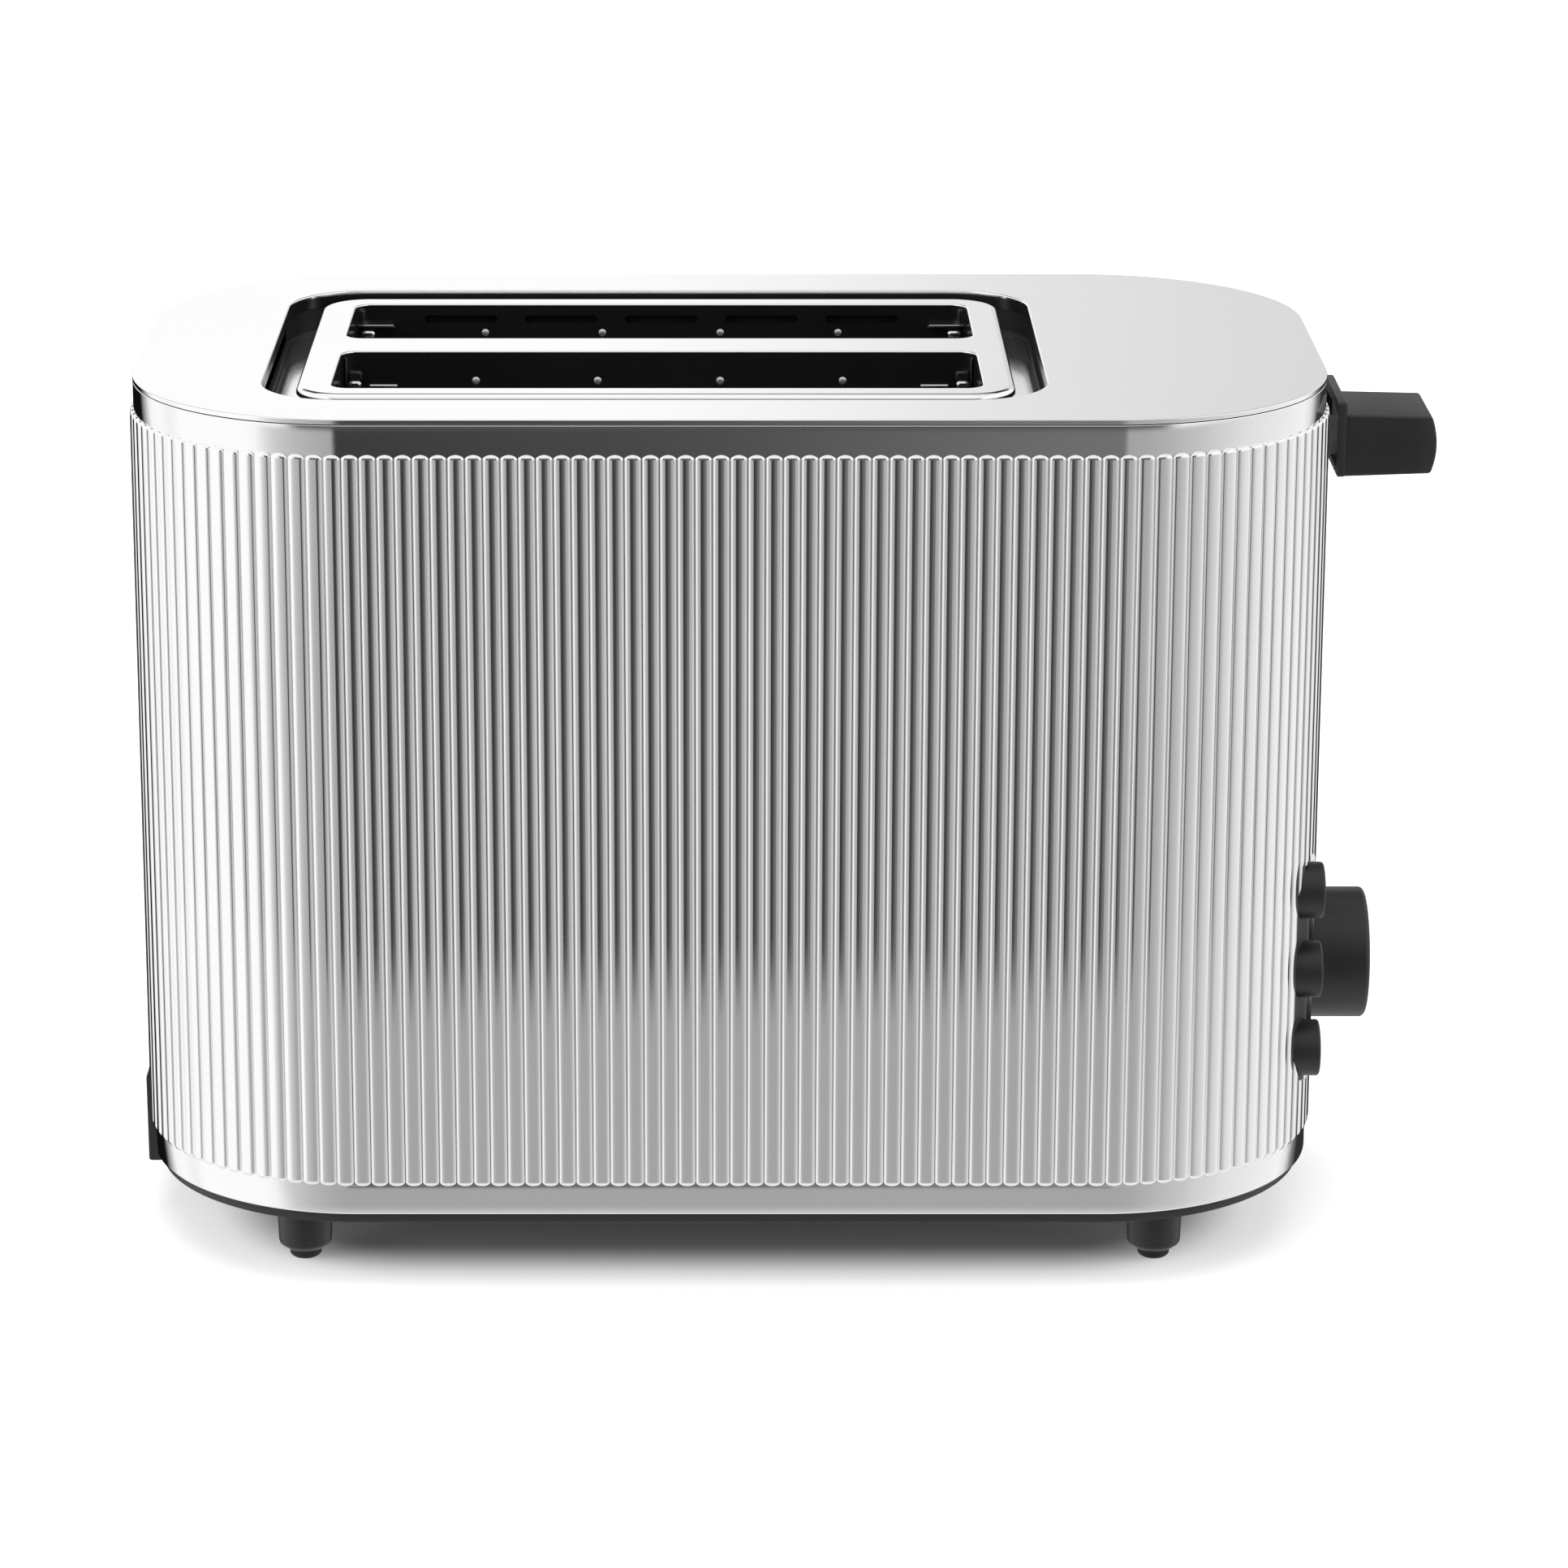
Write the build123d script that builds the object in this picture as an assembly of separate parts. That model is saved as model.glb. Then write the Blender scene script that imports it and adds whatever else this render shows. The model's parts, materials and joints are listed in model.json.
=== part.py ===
from build123d import *
import os
from math import cos, pi, sin, sqrt

# Two-slice toaster with a ribbed steel sleeve. All sizes are in millimetres.
# X runs along the body towards the lever, Y towards the back, Z up from the table.
# Places in X and Y are measured from the middle of the sleeve.

# Body, seen from above
body_length = 272.0
body_width = 155.9
corner_radius = 50.4

# Heights of the stack, from the table up
ground_clearance = 14.6
base_rim = 2.7
shell_height = 185.7
plate_gap = 0.4
plate_thickness = 1.6

# How far shapes that only cut reach past what they cut
cut_past = 1.0

# Steel sleeve and its pressed ribs
shell_wall = 1.2
fold_depth = 6.0
fold_length = 30.0
fold_inset = 25.6
rib_pitch = 3.91
rib_width = 3.6
rib_height = 1.5
rib_crown = 2.2
rib_root = 0.4
rib_tip = 1.3
bare_top = 6.8
bare_bottom = 7.15
rib_margin = 1.2

# Top plate and the well round the slots, as the room left at both ends and along both sides
plate_inset = 0.1
plate_bevel = 0.6
far_room = 31.0
lever_room = 64.0
side_room = 18.95
well_gap_x = 7.95
well_gap_y = 6.8
well_corner = 19.0
collar_depth = 2.4
collar_wall = 1.0
liner_wall = 1.0
well_depth = 10.0

# Slot frame
frame_border_x = 6.65
frame_border_y = 7.0
frame_drop = 0.9
frame_sheet = 1.2
slot_bar = 14.0
slot_corner = 4.0
frame_bevel = 0.7
chute_depth = 14.0
chute_wall = 0.8
vent_count = 5
vent_margin = 26.3
vent_gap = 6.8
vent_height = 3.0
vent_corner = 1.0
vent_drop = 5.0
liner_clear = 1.25

# Moulded base, its four posts and their rubber pads
base_inset = 1.0
base_bevel = 0.8
upstand = 1.5
upstand_height = 8.0
post_inset_x = 37.0
post_inset_y = 17.95
post_diameter = 12.8
post_foot_diameter = 11.8
post_bevel = 0.5
pad_height = 2.0
pad_diameter = 7.2
floor_vent_count = 5
floor_vent_pitch = 18.0
floor_vent_width = 4.0
floor_vent_length = 12.0
floor_vent_y = 46.0

# Crumb tray
tray_half_width = 31.0
tray_proud = 2.3
tray_seat = 2.0
tray_low = 12.0
tray_high = 33.5
tray_slope = 5.0
tray_top = 1.2
tray_chamfer = 1.0
pan_past_slots = 0.6
pan_height = 14.0
pan_sheet = 0.8
tray_rail = 2.0
tray_rail_height = 16.0

# Chassis sheets
chassis_sheet = 1.0
chassis_drop = 4.4
flange_depth = 8.0
flange_half_width = 52.0
reflector_sheet = 0.8
reflector_bend = 58.0
reflector_clear = 2.7
reflector_foot_z = 38.0
top_flange_reach = 36.0
top_flange_half = 24.0

# Heater boards and their flat ribbons
board_thickness = 1.0
board_low = 62.0
board_drop = 4.1
board_inset = 5.0
board_tab = 7.0
outer_board_gap = 5.8
ribbon_width = 2.4
ribbon_thickness = 0.4
ribbon_turns = 5
ribbon_margin = 8.0

# Bread guides
guide_sheet = 0.8
guide_low = 66.0
guide_drop = 3.1
guide_rest_gap = 0.8
guide_travel = 7.5
guide_bar = 5.0
guide_windows = 5
guide_lip = 2.0
guide_end_gap = 6.0
guide_tab = 6.0
guide_tab_low = 80.0
guide_tab_high = 165.0

# Lever, carriage and bread racks, at rest with the lever up
lever_travel = 75.0
lever_stand_off = 5.6
lever_grip_length = 21.2
lever_bulge = 1.2
lever_flange_thickness = 2.0
lever_flange_half = 15.0
lever_flange_drop = 9.5
lever_flange_height = 17.3
lever_grip_half = 13.0
lever_grip_drop = 13.5
lever_grip_height = 12.9
lever_belly = 0.35
lever_swell = 0.4
lever_tuck = 0.6
lever_wall = 2.0
lever_hollow = 9.0
lever_taper = 1.5
lever_chamfer = 0.3
lever_round = 0.8
arm_thickness = 3.0
arm_drop = 16.0
arm_height = 9.0
arm_grip = 10.4
arm_foot_step = 1.0
liner_border = 5.0
liner_depth = 2.5
rack_top = 135.0
rack_height = 8.0
rack_sheet = 1.2
rack_tab_length = 12.0
rack_tab_width = 9.0
rack_tabs = 7
rack_tongue = 4.0
rack_tip = 4.0
bracket_gap = 0.75
bracket_sheet = 1.5
bracket_past_rack = 5.9
bracket_bar_low = 125.0
bracket_bar_high = 139.0
bracket_stem_low_y = -8.0
bracket_head = 2.0
lug_reach = 20.5
lug_sheet = 2.0
lug_half = 8.0
slide_reach = 12.5
slide_y = 14.0
slide_length = 7.0
slide_width = 4.0
slide_fit = 0.1
slide_end = 1.5
keeper_length = 14.0
keeper_thickness = 4.0
magnet_reach = 10.5
magnet_y = -14.0
magnet_gap = 0.3
magnet_pole = 4.0
magnet_length = 18.0
magnet_width = 12.0
magnet_foot = 4.0
spring_diameter = 8.0
spring_wire = 1.0
spring_hook = 3.0

# Browning knob and its dial
knob_z = 54.0
knob_diameter = 30.7
knob_stand_off = 3.5
knob_depth = 14.1
knob_bevel = 0.6
stem_diameter = 6.0

# Control panel and its three buttons
panel_set_in = 34.95
panel_width = 17.5
panel_height = 56.5
panel_middle_z = 64.8
panel_proud = 0.5
panel_back = 1.0
button_offset = 1.0
button_pitch = 19.4
button_diameter = 12.8
button_proud = 2.1
button_travel = 2.0
button_depth = 12.9
button_stem = 4.0

# Control board behind the knob and buttons
pcb_set_back = 22.5
pcb_thickness = 1.6
pcb_past_panel = 10.0
pcb_gland_gap = 7.0
pcb_low = 20.6
pcb_high = 96.0
pcb_groove = 1.5
pcb_post = 3.0
pcb_post_height = 40.0
dial_half = 8.0
dial_depth = 6.0
switch_half = 3.5
switch_depth = 3.2

# Mains terminals and cord gland
terminal_step_x = 18.0
terminal_step_y = 4.0
terminal_length = 18.0
terminal_width = 12.0
terminal_height = 13.0
terminal_ways = 3
terminal_well = 4.0
terminal_well_depth = 6.0
gland_inset_x = 24.0
gland_inset_y = 37.95
gland_bore = 8.0
gland_body = 12.0
gland_height = 7.0
gland_mouth = 10.0
gland_mouth_depth = 3.0

# Clearances
seat_gap = 0.2
sliding_gap = 0.3
slot_gap = 0.5
fit_gap = 0.05

# Levels worked out from the sizes above
base_z = ground_clearance
shell_z = base_z + base_rim
shell_top = shell_z + shell_height
plate_z = shell_top + plate_gap
plate_top = plate_z + plate_thickness
frame_top = plate_top - frame_drop
well_floor = plate_top - well_depth
floor_z = shell_z
chute_z = frame_top - chute_depth
rib_low = shell_z + bare_bottom
rib_high = shell_top - bare_top
chassis_top = plate_z - chassis_drop
guide_high = chute_z - guide_drop
board_high = chute_z - board_drop

# The body gives the size of the well, of the slot frame in it, of the slots and of the toasting chamber
well_length = body_length - far_room - lever_room
well_width = body_width - 2 * side_room
well_x = (far_room - lever_room) / 2
frame_length = well_length - 2 * well_gap_x
frame_width = well_width - 2 * well_gap_y
slot_length = frame_length - 2 * frame_border_x
slot_width = (frame_width - slot_bar) / 2 - frame_border_y
vent_pitch = (slot_length - vent_margin) / vent_count
vent_length = vent_pitch - vent_gap
rack_tab_pitch = (slot_length - rack_tab_length) / (rack_tabs - 1)
frame_corner = well_corner - well_gap_x
slot_y = (slot_bar + slot_width) / 2
outer_board_y = slot_y + slot_width / 2 + outer_board_gap
liner_out = collar_wall + fit_gap + liner_wall
chamber_low_x = well_x - well_length / 2 - liner_out - seat_gap
chamber_high_x = well_x + well_length / 2 + liner_out + seat_gap
chamber_half = well_width / 2 + liner_out

# The body's outline gives the places of what stands at its ends and corners
fold_x = body_length / 2 - corner_radius - fold_inset
post_x = body_length / 2 - post_inset_x
post_y = body_width / 2 - post_inset_y
tray_reach = body_length / 2 + tray_proud
tray_front_back = body_length / 2 - tray_seat
pan_end = well_x + slot_length / 2 + pan_past_slots
reflector_foot_y = tray_half_width + sliding_gap + tray_rail + reflector_clear
knob_base_x = body_length / 2 + knob_stand_off
knob_face_x = knob_base_x + knob_depth
panel_y = -(body_width / 2 - panel_set_in)
button_y = panel_y - button_offset
button_face_x = body_length / 2 + button_proud
button_back_x = button_face_x - button_depth
button_zs = [panel_middle_z + step * button_pitch for step in (1, 0, -1)]
pcb_x = body_length / 2 - pcb_set_back
pcb_low_y = panel_y - pcb_past_panel
gland_x = body_length / 2 - gland_inset_x
gland_y = body_width / 2 - gland_inset_y
pcb_high_y = gland_y - gland_body / 2 - pcb_post - pcb_gland_gap
terminal_x = gland_x - terminal_step_x
terminal_y = gland_y + terminal_step_y

# Lever and carriage
lever_flange_x = body_length / 2 + lever_stand_off
lever_flange_out = lever_flange_x + lever_flange_thickness
lever_reach = lever_flange_out + lever_grip_length
lever_flange_high = shell_top - lever_flange_drop
lever_flange_low = lever_flange_high - lever_flange_height
lever_middle = (lever_flange_low + lever_flange_high) / 2
lever_grip_high = shell_top - lever_grip_drop
lever_grip_low = lever_grip_high - lever_grip_height
arm_end = lever_flange_out + arm_grip
arm_high = shell_top - arm_drop
arm_low = arm_high - arm_height
bracket_x = chamber_high_x + chassis_sheet + flange_depth + bracket_gap
bracket_bar_half = slot_y + bracket_past_rack
bracket_top = arm_high + bracket_head
slide_x = bracket_x + bracket_sheet + slide_reach
magnet_x = bracket_x + bracket_sheet + magnet_reach
rack_low = rack_top - rack_height
keeper_z = bracket_bar_low - keeper_thickness
lever_slot_half = arm_thickness / 2 + slot_gap
lever_slot_low = arm_low - lever_travel - slot_gap
lever_slot_high = arm_high + slot_gap
signs = [(-1, -1), (-1, 1), (1, -1), (1, 1)]


def outline(offset=0.0):
    """The body's rounded outline, moved out by offset."""
    return RectangleRounded(body_length + 2 * offset, body_width + 2 * offset, corner_radius + offset)


def well_outline(offset=0.0):
    """The outline of the opening in the top plate, moved out by offset."""
    shape = RectangleRounded(well_length + 2 * offset, well_width + 2 * offset, well_corner + offset)
    return Pos(well_x, 0) * shape


def frame_outline(offset=0.0):
    """The outline of the slot frame, moved out by offset."""
    shape = RectangleRounded(frame_length + 2 * offset, frame_width + 2 * offset, frame_corner + offset)
    return Pos(well_x, 0) * shape


def slot_outline(side, offset=0.0):
    """The outline of one bread slot, side -1 in front and +1 at the back."""
    shape = RectangleRounded(slot_length + 2 * offset, slot_width + 2 * offset, slot_corner + offset)
    return Pos(well_x, side * slot_y) * shape


def prism(face, low, high):
    """A flat outline raised from one level to another."""
    return extrude(Pos(0, 0, low) * face, high - low)


def block(low_x, high_x, low_y, high_y, low_z, high_z):
    """A straight block between two corners."""
    size = (high_x - low_x, high_y - low_y, high_z - low_z)
    return Pos(low_x, low_y, low_z) * Box(*size, align=(Align.MIN, Align.MIN, Align.MIN))


def upright(radius, x, y, low, high):
    """A round bar standing along Z."""
    return Pos(x, y, low) * Cylinder(radius, high - low, align=(Align.CENTER, Align.CENTER, Align.MIN))


def lying(radius, y, z, low_x, high_x):
    """A round bar lying along X."""
    bar = Cylinder(radius, high_x - low_x, align=(Align.CENTER, Align.CENTER, Align.MIN))
    return Pos(low_x, y, z) * Rot(0, 90, 0) * bar


def pill(grow=0.0):
    """The control panel's upright pill outline, pushed along X through the corner of the body."""
    shape = SlotOverall(panel_height + 2 * grow, panel_width + 2 * grow, rotation=90)
    return extrude(Plane.YZ.offset(body_length / 4) * Pos(panel_y, panel_middle_z) * shape, body_length / 2)


def corner_layer(inner, outer):
    """A layer of the body's wall from one offset to another, round the corner that holds the panel."""
    ring = prism(outline(outer) - outline(inner), shell_z, shell_top)
    return ring & block(0, body_length, -body_width, 0, shell_z, shell_top)


def rib(low, high):
    """One pressed rib, standing out along -Y, with a flat crown and both ends sloping into the band."""
    root = (rib_width + (rib_width - rib_crown) * rib_root / rib_height) / 2
    crown = rib_crown / 2
    section = make_face(
        Polyline((-root, rib_root), (-crown, -rib_height), (crown, -rib_height), (root, rib_root), close=True)
    )
    bar = prism(section, low - rib_tip, high + rib_tip)
    run = rib_tip / rib_height
    side = Polyline(
        (rib_root, low - run * rib_root),
        (-rib_height, low + rib_tip),
        (-rib_height, high - rib_tip),
        (rib_root, high + run * rib_root),
        close=True,
    )
    return bar & extrude(Plane.YZ * make_face(side), rib_width, both=True)


def rib_runs(x, y):
    """The heights between which a rib runs: whole, or held back round the panel, lever slot or tray door."""
    off_panel = abs(y - panel_y)
    panel_reach = panel_width / 2 + rib_margin
    if x > body_length / 2 - corner_radius and off_panel < panel_reach:
        half = (panel_height - panel_width) / 2 + sqrt(panel_reach**2 - off_panel**2)
        return [(rib_low, panel_middle_z - half), (panel_middle_z + half, rib_high)]
    if x > 0 and abs(y) < rib_pitch:
        return [(rib_low, lever_slot_low - rib_pitch)]
    if x < 0 and abs(y) < tray_half_width + rib_margin:
        return [(tray_high + rib_pitch, rib_high)]
    return [(rib_low, rib_high)]


def rib_places():
    """Where each rib stands and which way it faces, stepped from the middle of the long sides."""
    flat_x = body_length / 2 - corner_radius
    flat_y = body_width / 2 - corner_radius
    bend = corner_radius * pi / 2
    places = []
    for number in range(int((flat_x + bend + flat_y) / rib_pitch)):
        along = (number + 0.5) * rib_pitch
        turn = min(max((along - flat_x) / corner_radius, 0.0), pi / 2)
        x = min(along, flat_x) + corner_radius * sin(turn)
        y = flat_y + corner_radius * cos(turn) - max(along - flat_x - bend, 0.0)
        angle = turn * 180 / pi
        places += [(x, -y, angle), (-x, -y, -angle), (x, y, 180 - angle), (-x, y, 180 + angle)]
    return places


def fold_places():
    """The middle and half size, seen from above, of each tab folded in along the sleeve's ends."""
    reach = (fold_depth + shell_wall / 2) / 2
    y = body_width / 2 - shell_wall / 2 - reach
    x = body_length / 2 - shell_wall / 2 - reach
    long = [(side_x * fold_x, side_y * y, fold_length / 2, reach) for side_x, side_y in signs]
    return long + [(side * x, 0, reach, fold_length / 2) for side in (1, -1)]


def body_shell():
    """The ribbed steel sleeve, with tabs folded in at both ends."""
    sleeve = prism(outline() - outline(-shell_wall), shell_z, shell_top)
    pieces = []
    for x, y, angle in rib_places():
        for low, high in rib_runs(x, y):
            pieces.append(Pos(x, y) * Rot(0, 0, angle) * rib(low, high))
    for x, y, half_x, half_y in fold_places():
        for low in (shell_z, shell_top - shell_wall):
            pieces.append(block(x - half_x, x + half_x, y - half_y, y + half_y, low, low + shell_wall))
    sleeve = sleeve.fuse(*pieces)
    # Window of the control panel
    sleeve -= pill(seat_gap / 2)
    # Lever slot and the window for the knob's stem
    inner, outer = body_length / 2 - shell_wall - cut_past, body_length / 2 + rib_height + cut_past
    sleeve -= block(inner, outer, -lever_slot_half, lever_slot_half, lever_slot_low, lever_slot_high)
    half = stem_diameter / 2 + slot_gap
    sleeve -= block(inner, outer, -half, half, knob_z - half, knob_z + half)
    # Doorway of the crumb tray
    half = tray_half_width + sliding_gap
    door_x = -body_length / 2 + shell_wall + fold_depth + cut_past
    return sleeve - block(-outer, door_x, -half, half, shell_z, tray_high + sliding_gap)


def top_plate():
    """The satin top plate, with a collar turned down round the well and pads on the sleeve's tabs."""
    sheet = prism(outline(-plate_inset), plate_z, plate_top)
    sheet = chamfer(sheet.edges().group_by(Axis.Z)[-1], plate_bevel)
    plate = sheet + prism(well_outline(collar_wall), plate_z - collar_depth, plate_z)
    plate -= prism(well_outline(), plate_z - collar_depth, plate_top)
    for x, y, half_x, half_y in fold_places():
        plate += block(x - half_x, x + half_x, y - half_y, y + half_y, shell_top, plate_z)
    return plate


def well_liner():
    """The dark liner that closes the gap between the top plate and the slot frame."""
    wall = well_outline(liner_out) - well_outline(liner_out - liner_wall)
    past = 2 * (chute_wall + liner_clear)
    hole = Rectangle(slot_length + past, 2 * slot_width + slot_bar + past)
    floor = well_outline(liner_out) - Pos(well_x, 0) * hole
    return prism(wall, well_floor, plate_z) + prism(floor, well_floor - liner_wall, well_floor)


def slot_frame():
    """The pressed frame round both slots, with a skirt outside and a chute down each slot."""
    top = prism(frame_outline(), well_floor, frame_top)
    top = chamfer(top.edges().group_by(Axis.Z)[-1], frame_bevel)
    hollow = frame_outline(-frame_sheet)
    for side in (-1, 1):
        hollow -= slot_outline(side, chute_wall)
    top -= prism(hollow, well_floor, frame_top - frame_sheet)
    for side in (-1, 1):
        top += prism(slot_outline(side, chute_wall), chute_z, well_floor)
        top -= prism(slot_outline(side), chute_z, frame_top)
    # Vents in the outer wall of each chute
    vent = Plane.XZ * chamfer(Rectangle(vent_length, vent_height).vertices(), vent_corner)
    for side in (-1, 1):
        wall_y = side * (slot_y + slot_width / 2 + chute_wall / 2)
        for number in range(vent_count):
            x = well_x + (number - (vent_count - 1) / 2) * vent_pitch
            top -= Pos(x, wall_y, frame_top - vent_drop) * extrude(vent, chute_wall, both=True)
    return top


def base_plate():
    """The flat base: its edge bevelled below, with holes for the tray's front, the cord gland and the air."""
    body = prism(outline(-base_inset), base_z, floor_z)
    body = chamfer(body.edges().group_by(Axis.Z)[0], base_bevel)
    door = tray_half_width + sliding_gap
    body -= block(-body_length, -tray_front_back + sliding_gap, -door, door, base_z, floor_z)
    half = gland_body / 2
    body -= block(gland_x - half, gland_x + half, gland_y - half, gland_y + half, base_z, floor_z)
    for side in (-1, 1):
        for number in range(floor_vent_count):
            x = well_x + (number - (floor_vent_count - 1) / 2) * floor_vent_pitch
            y = side * floor_vent_y
            half_x, half_y = floor_vent_width / 2, floor_vent_length / 2
            body -= block(x - half_x, x + half_x, y - half_y, y + half_y, base_z, floor_z)
    return body


def sleeve_upstands():
    """The four upstands on the base that hold the sleeve by its folded tabs."""
    out = body_width / 2 - shell_wall - fold_depth - seat_gap
    upstands = []
    for side_x, side_y in signs:
        low_y, high_y = sorted((side_y * out, side_y * (out - upstand)))
        x = side_x * fold_x
        half = fold_length / 2
        upstands.append(block(x - half, x + half, low_y, high_y, floor_z, floor_z + upstand_height))
    return Compound(upstands)


def tray_rails():
    """The two rails beside the crumb tray, and the stop behind it."""
    door = tray_half_width + sliding_gap
    low_x = -body_length / 2 + shell_wall + slot_gap
    end = pan_end + sliding_gap
    top = floor_z + tray_rail_height
    rails = [block(end, end + tray_rail, -door - tray_rail, door + tray_rail, floor_z, top)]
    for side in (-1, 1):
        inner, outer = sorted((side * door, side * (door + tray_rail)))
        rails.append(block(low_x, end - seat_gap, inner, outer, floor_z, top))
    return Compound(rails)


def board_posts():
    """The two posts that hold the control board in their grooves."""
    half = pcb_thickness / 2 + pcb_post
    middle = pcb_x + pcb_thickness / 2
    top = floor_z + pcb_post_height
    low_x, high_x = pcb_x - fit_gap, pcb_x + pcb_thickness + fit_gap
    groove = block(low_x, high_x, pcb_low_y - fit_gap, pcb_high_y + fit_gap, pcb_low, pcb_high)
    posts = []
    for edge, side in ((pcb_low_y, -1), (pcb_high_y, 1)):
        low_y, high_y = sorted((edge + side * pcb_post, edge - side * pcb_groove))
        posts.append(block(middle - half, middle + half, low_y, high_y, floor_z, top) - groove)
    return Compound(posts)


def foot_posts():
    """The four posts under the base, slightly tapered."""
    height = base_z - pad_height
    foot = (Align.CENTER, Align.CENTER, Align.MIN)
    post = Cone(post_foot_diameter / 2, post_diameter / 2, height, align=foot)
    post = chamfer(post.edges().group_by(Axis.Z)[0], post_bevel)
    return Compound([Pos(x * post_x, y * post_y, pad_height) * post for x, y in signs])


def foot_pads():
    """The four rubber pads, one under each post."""
    return Compound([upright(pad_diameter / 2, x * post_x, y * post_y, 0, pad_height) for x, y in signs])


def control_panel():
    """The black pill that follows the body's corner, with a hole for each button."""
    panel = corner_layer(-shell_wall - panel_back, panel_proud) & pill()
    for z in button_zs:
        panel -= lying(button_diameter / 2 + sliding_gap, button_y, z, body_length / 4, body_length)
    return panel


def button(z):
    """One push button: a round cap with a square stem towards its switch."""
    cap = lying(button_diameter / 2, button_y, z, button_back_x, button_face_x)
    stem_x = pcb_x + pcb_thickness + switch_depth + sliding_gap + button_travel
    half = button_stem / 2
    return cap + block(stem_x, button_back_x, button_y - half, button_y + half, z - half, z + half)


def browning_knob():
    """The round knob with the stem that turns the dial."""
    radius = knob_diameter / 2
    drum = lying(radius, 0, knob_z, knob_base_x, knob_face_x)
    drum = chamfer(drum.edges().group_by(Axis.X)[-1], knob_bevel)
    stem_x = pcb_x + pcb_thickness + dial_depth / 2
    return drum + lying(stem_diameter / 2, 0, knob_z, stem_x, knob_base_x)


def control_dial():
    """The rotary control on the board, open in front for the knob's stem."""
    low = pcb_x + pcb_thickness
    body = block(low, low + dial_depth, -dial_half, dial_half, knob_z - dial_half, knob_z + dial_half)
    half = stem_diameter / 2 + sliding_gap
    bottom = low + dial_depth / 2 - seat_gap
    return body - block(bottom, low + dial_depth, -half, half, knob_z - half, knob_z + half)


def button_switch(z):
    """One push switch on the board, behind its button."""
    low = pcb_x + pcb_thickness
    half = switch_half
    return block(low, low + switch_depth, button_y - half, button_y + half, z - half, z + half)


def control_board():
    """The upright circuit board that stands in the base's grooves."""
    width, height = pcb_high_y - pcb_low_y, pcb_high - pcb_low
    middle = Pos((pcb_high_y + pcb_low_y) / 2, (pcb_high + pcb_low) / 2)
    return extrude(Plane.YZ.offset(pcb_x) * middle * Rectangle(width, height), pcb_thickness)


def crumb_tray_pan():
    """The sheet that catches the crumbs."""
    low = floor_z + sliding_gap
    half = tray_half_width - sliding_gap
    return block(-tray_front_back, pan_end, -half, half, low, low + pan_sheet)


def crumb_tray_sides():
    """The four upright walls round the pan's edge."""
    low, high = floor_z + sliding_gap + pan_sheet, floor_z + sliding_gap + pan_height
    half = tray_half_width - sliding_gap
    inner = half - pan_sheet
    walls = []
    for side in (-1, 1):
        low_y, high_y = sorted((side * half, side * inner))
        walls.append(block(-tray_front_back, pan_end, low_y, high_y, low, high))
    reach = inner - fit_gap
    for x in (-tray_front_back, pan_end - pan_sheet):
        walls.append(block(x, x + pan_sheet, -reach, reach, low, high))
    return Compound(walls)


def crumb_tray_front():
    """The black front of the tray, its top edge bevelled and a finger lip at the bottom."""
    profile = Polyline(
        (-tray_front_back, tray_low),
        (-tray_front_back, tray_high),
        (-tray_front_back - tray_top, tray_high),
        (-tray_reach, tray_high - tray_slope),
        (-tray_reach, tray_low + tray_chamfer),
        (-tray_reach + tray_chamfer, tray_low),
        close=True,
    )
    return extrude(Plane.XZ * make_face(profile), tray_half_width, both=True)


def guide_ys():
    """At rest, the inner face of each bread guide: name, its Y and the way that it closes."""
    ys = []
    for side, slot in ((-1, "front"), (1, "rear")):
        for wall, place in ((side, "outer"), (-side, "inner")):
            y = side * slot_y + wall * (slot_width / 2 + guide_rest_gap)
            ys.append((slot + "_" + place, y, -wall))
    return ys


def end_sheet_holes():
    """The holes that both chassis ends share, drawn in Y and Z."""
    holes = []
    rack_half = rack_sheet / 2 + slot_gap
    low = rack_low - lever_travel - slot_gap
    high = rack_top + slot_gap
    for side in (-1, 1):
        holes.append(Pos(side * slot_y, (low + high) / 2) * Rectangle(2 * rack_half, high - low))
    for name, y, close in guide_ys():
        start = y - close * (guide_sheet + slot_gap)
        end = y + close * (guide_travel + slot_gap)
        for tab in (guide_tab_low, guide_tab_high):
            middle = tab + guide_tab / 2
            hole = Rectangle(abs(end - start), guide_tab + 2 * slot_gap)
            holes.append(Pos((start + end) / 2, middle) * hole)
    for y in (-outer_board_y, 0, outer_board_y):
        for middle in (board_low + board_tab / 2, board_high - board_tab / 2):
            holes.append(Pos(y, middle) * Rectangle(board_thickness + 2 * fit_gap, board_tab + 2 * fit_gap))
    return holes


def chassis_end(low_x, way):
    """One upright sheet with a foot flange turned away from the toasting chamber."""
    sheet = Pos(0, (floor_z + chassis_top) / 2) * Rectangle(2 * chamber_half, chassis_top - floor_z)
    for hole in end_sheet_holes():
        sheet -= hole
    body = extrude(Plane.YZ.offset(low_x) * sheet, chassis_sheet)
    near = low_x if way < 0 else low_x + chassis_sheet
    flange_low, flange_high = sorted((near, near + way * flange_depth))
    half = flange_half_width
    return body + block(flange_low, flange_high, -half, half, floor_z, floor_z + chassis_sheet)


def far_end_plate():
    """The chassis end beside the crumb tray's door, notched for the tray and its rails."""
    body = chassis_end(chamber_low_x - chassis_sheet, -1)
    half = tray_half_width + sliding_gap + tray_rail + slot_gap
    top = floor_z + tray_rail_height + slot_gap
    return body - block(-body_length, chamber_low_x, -half, half, floor_z, top)


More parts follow.
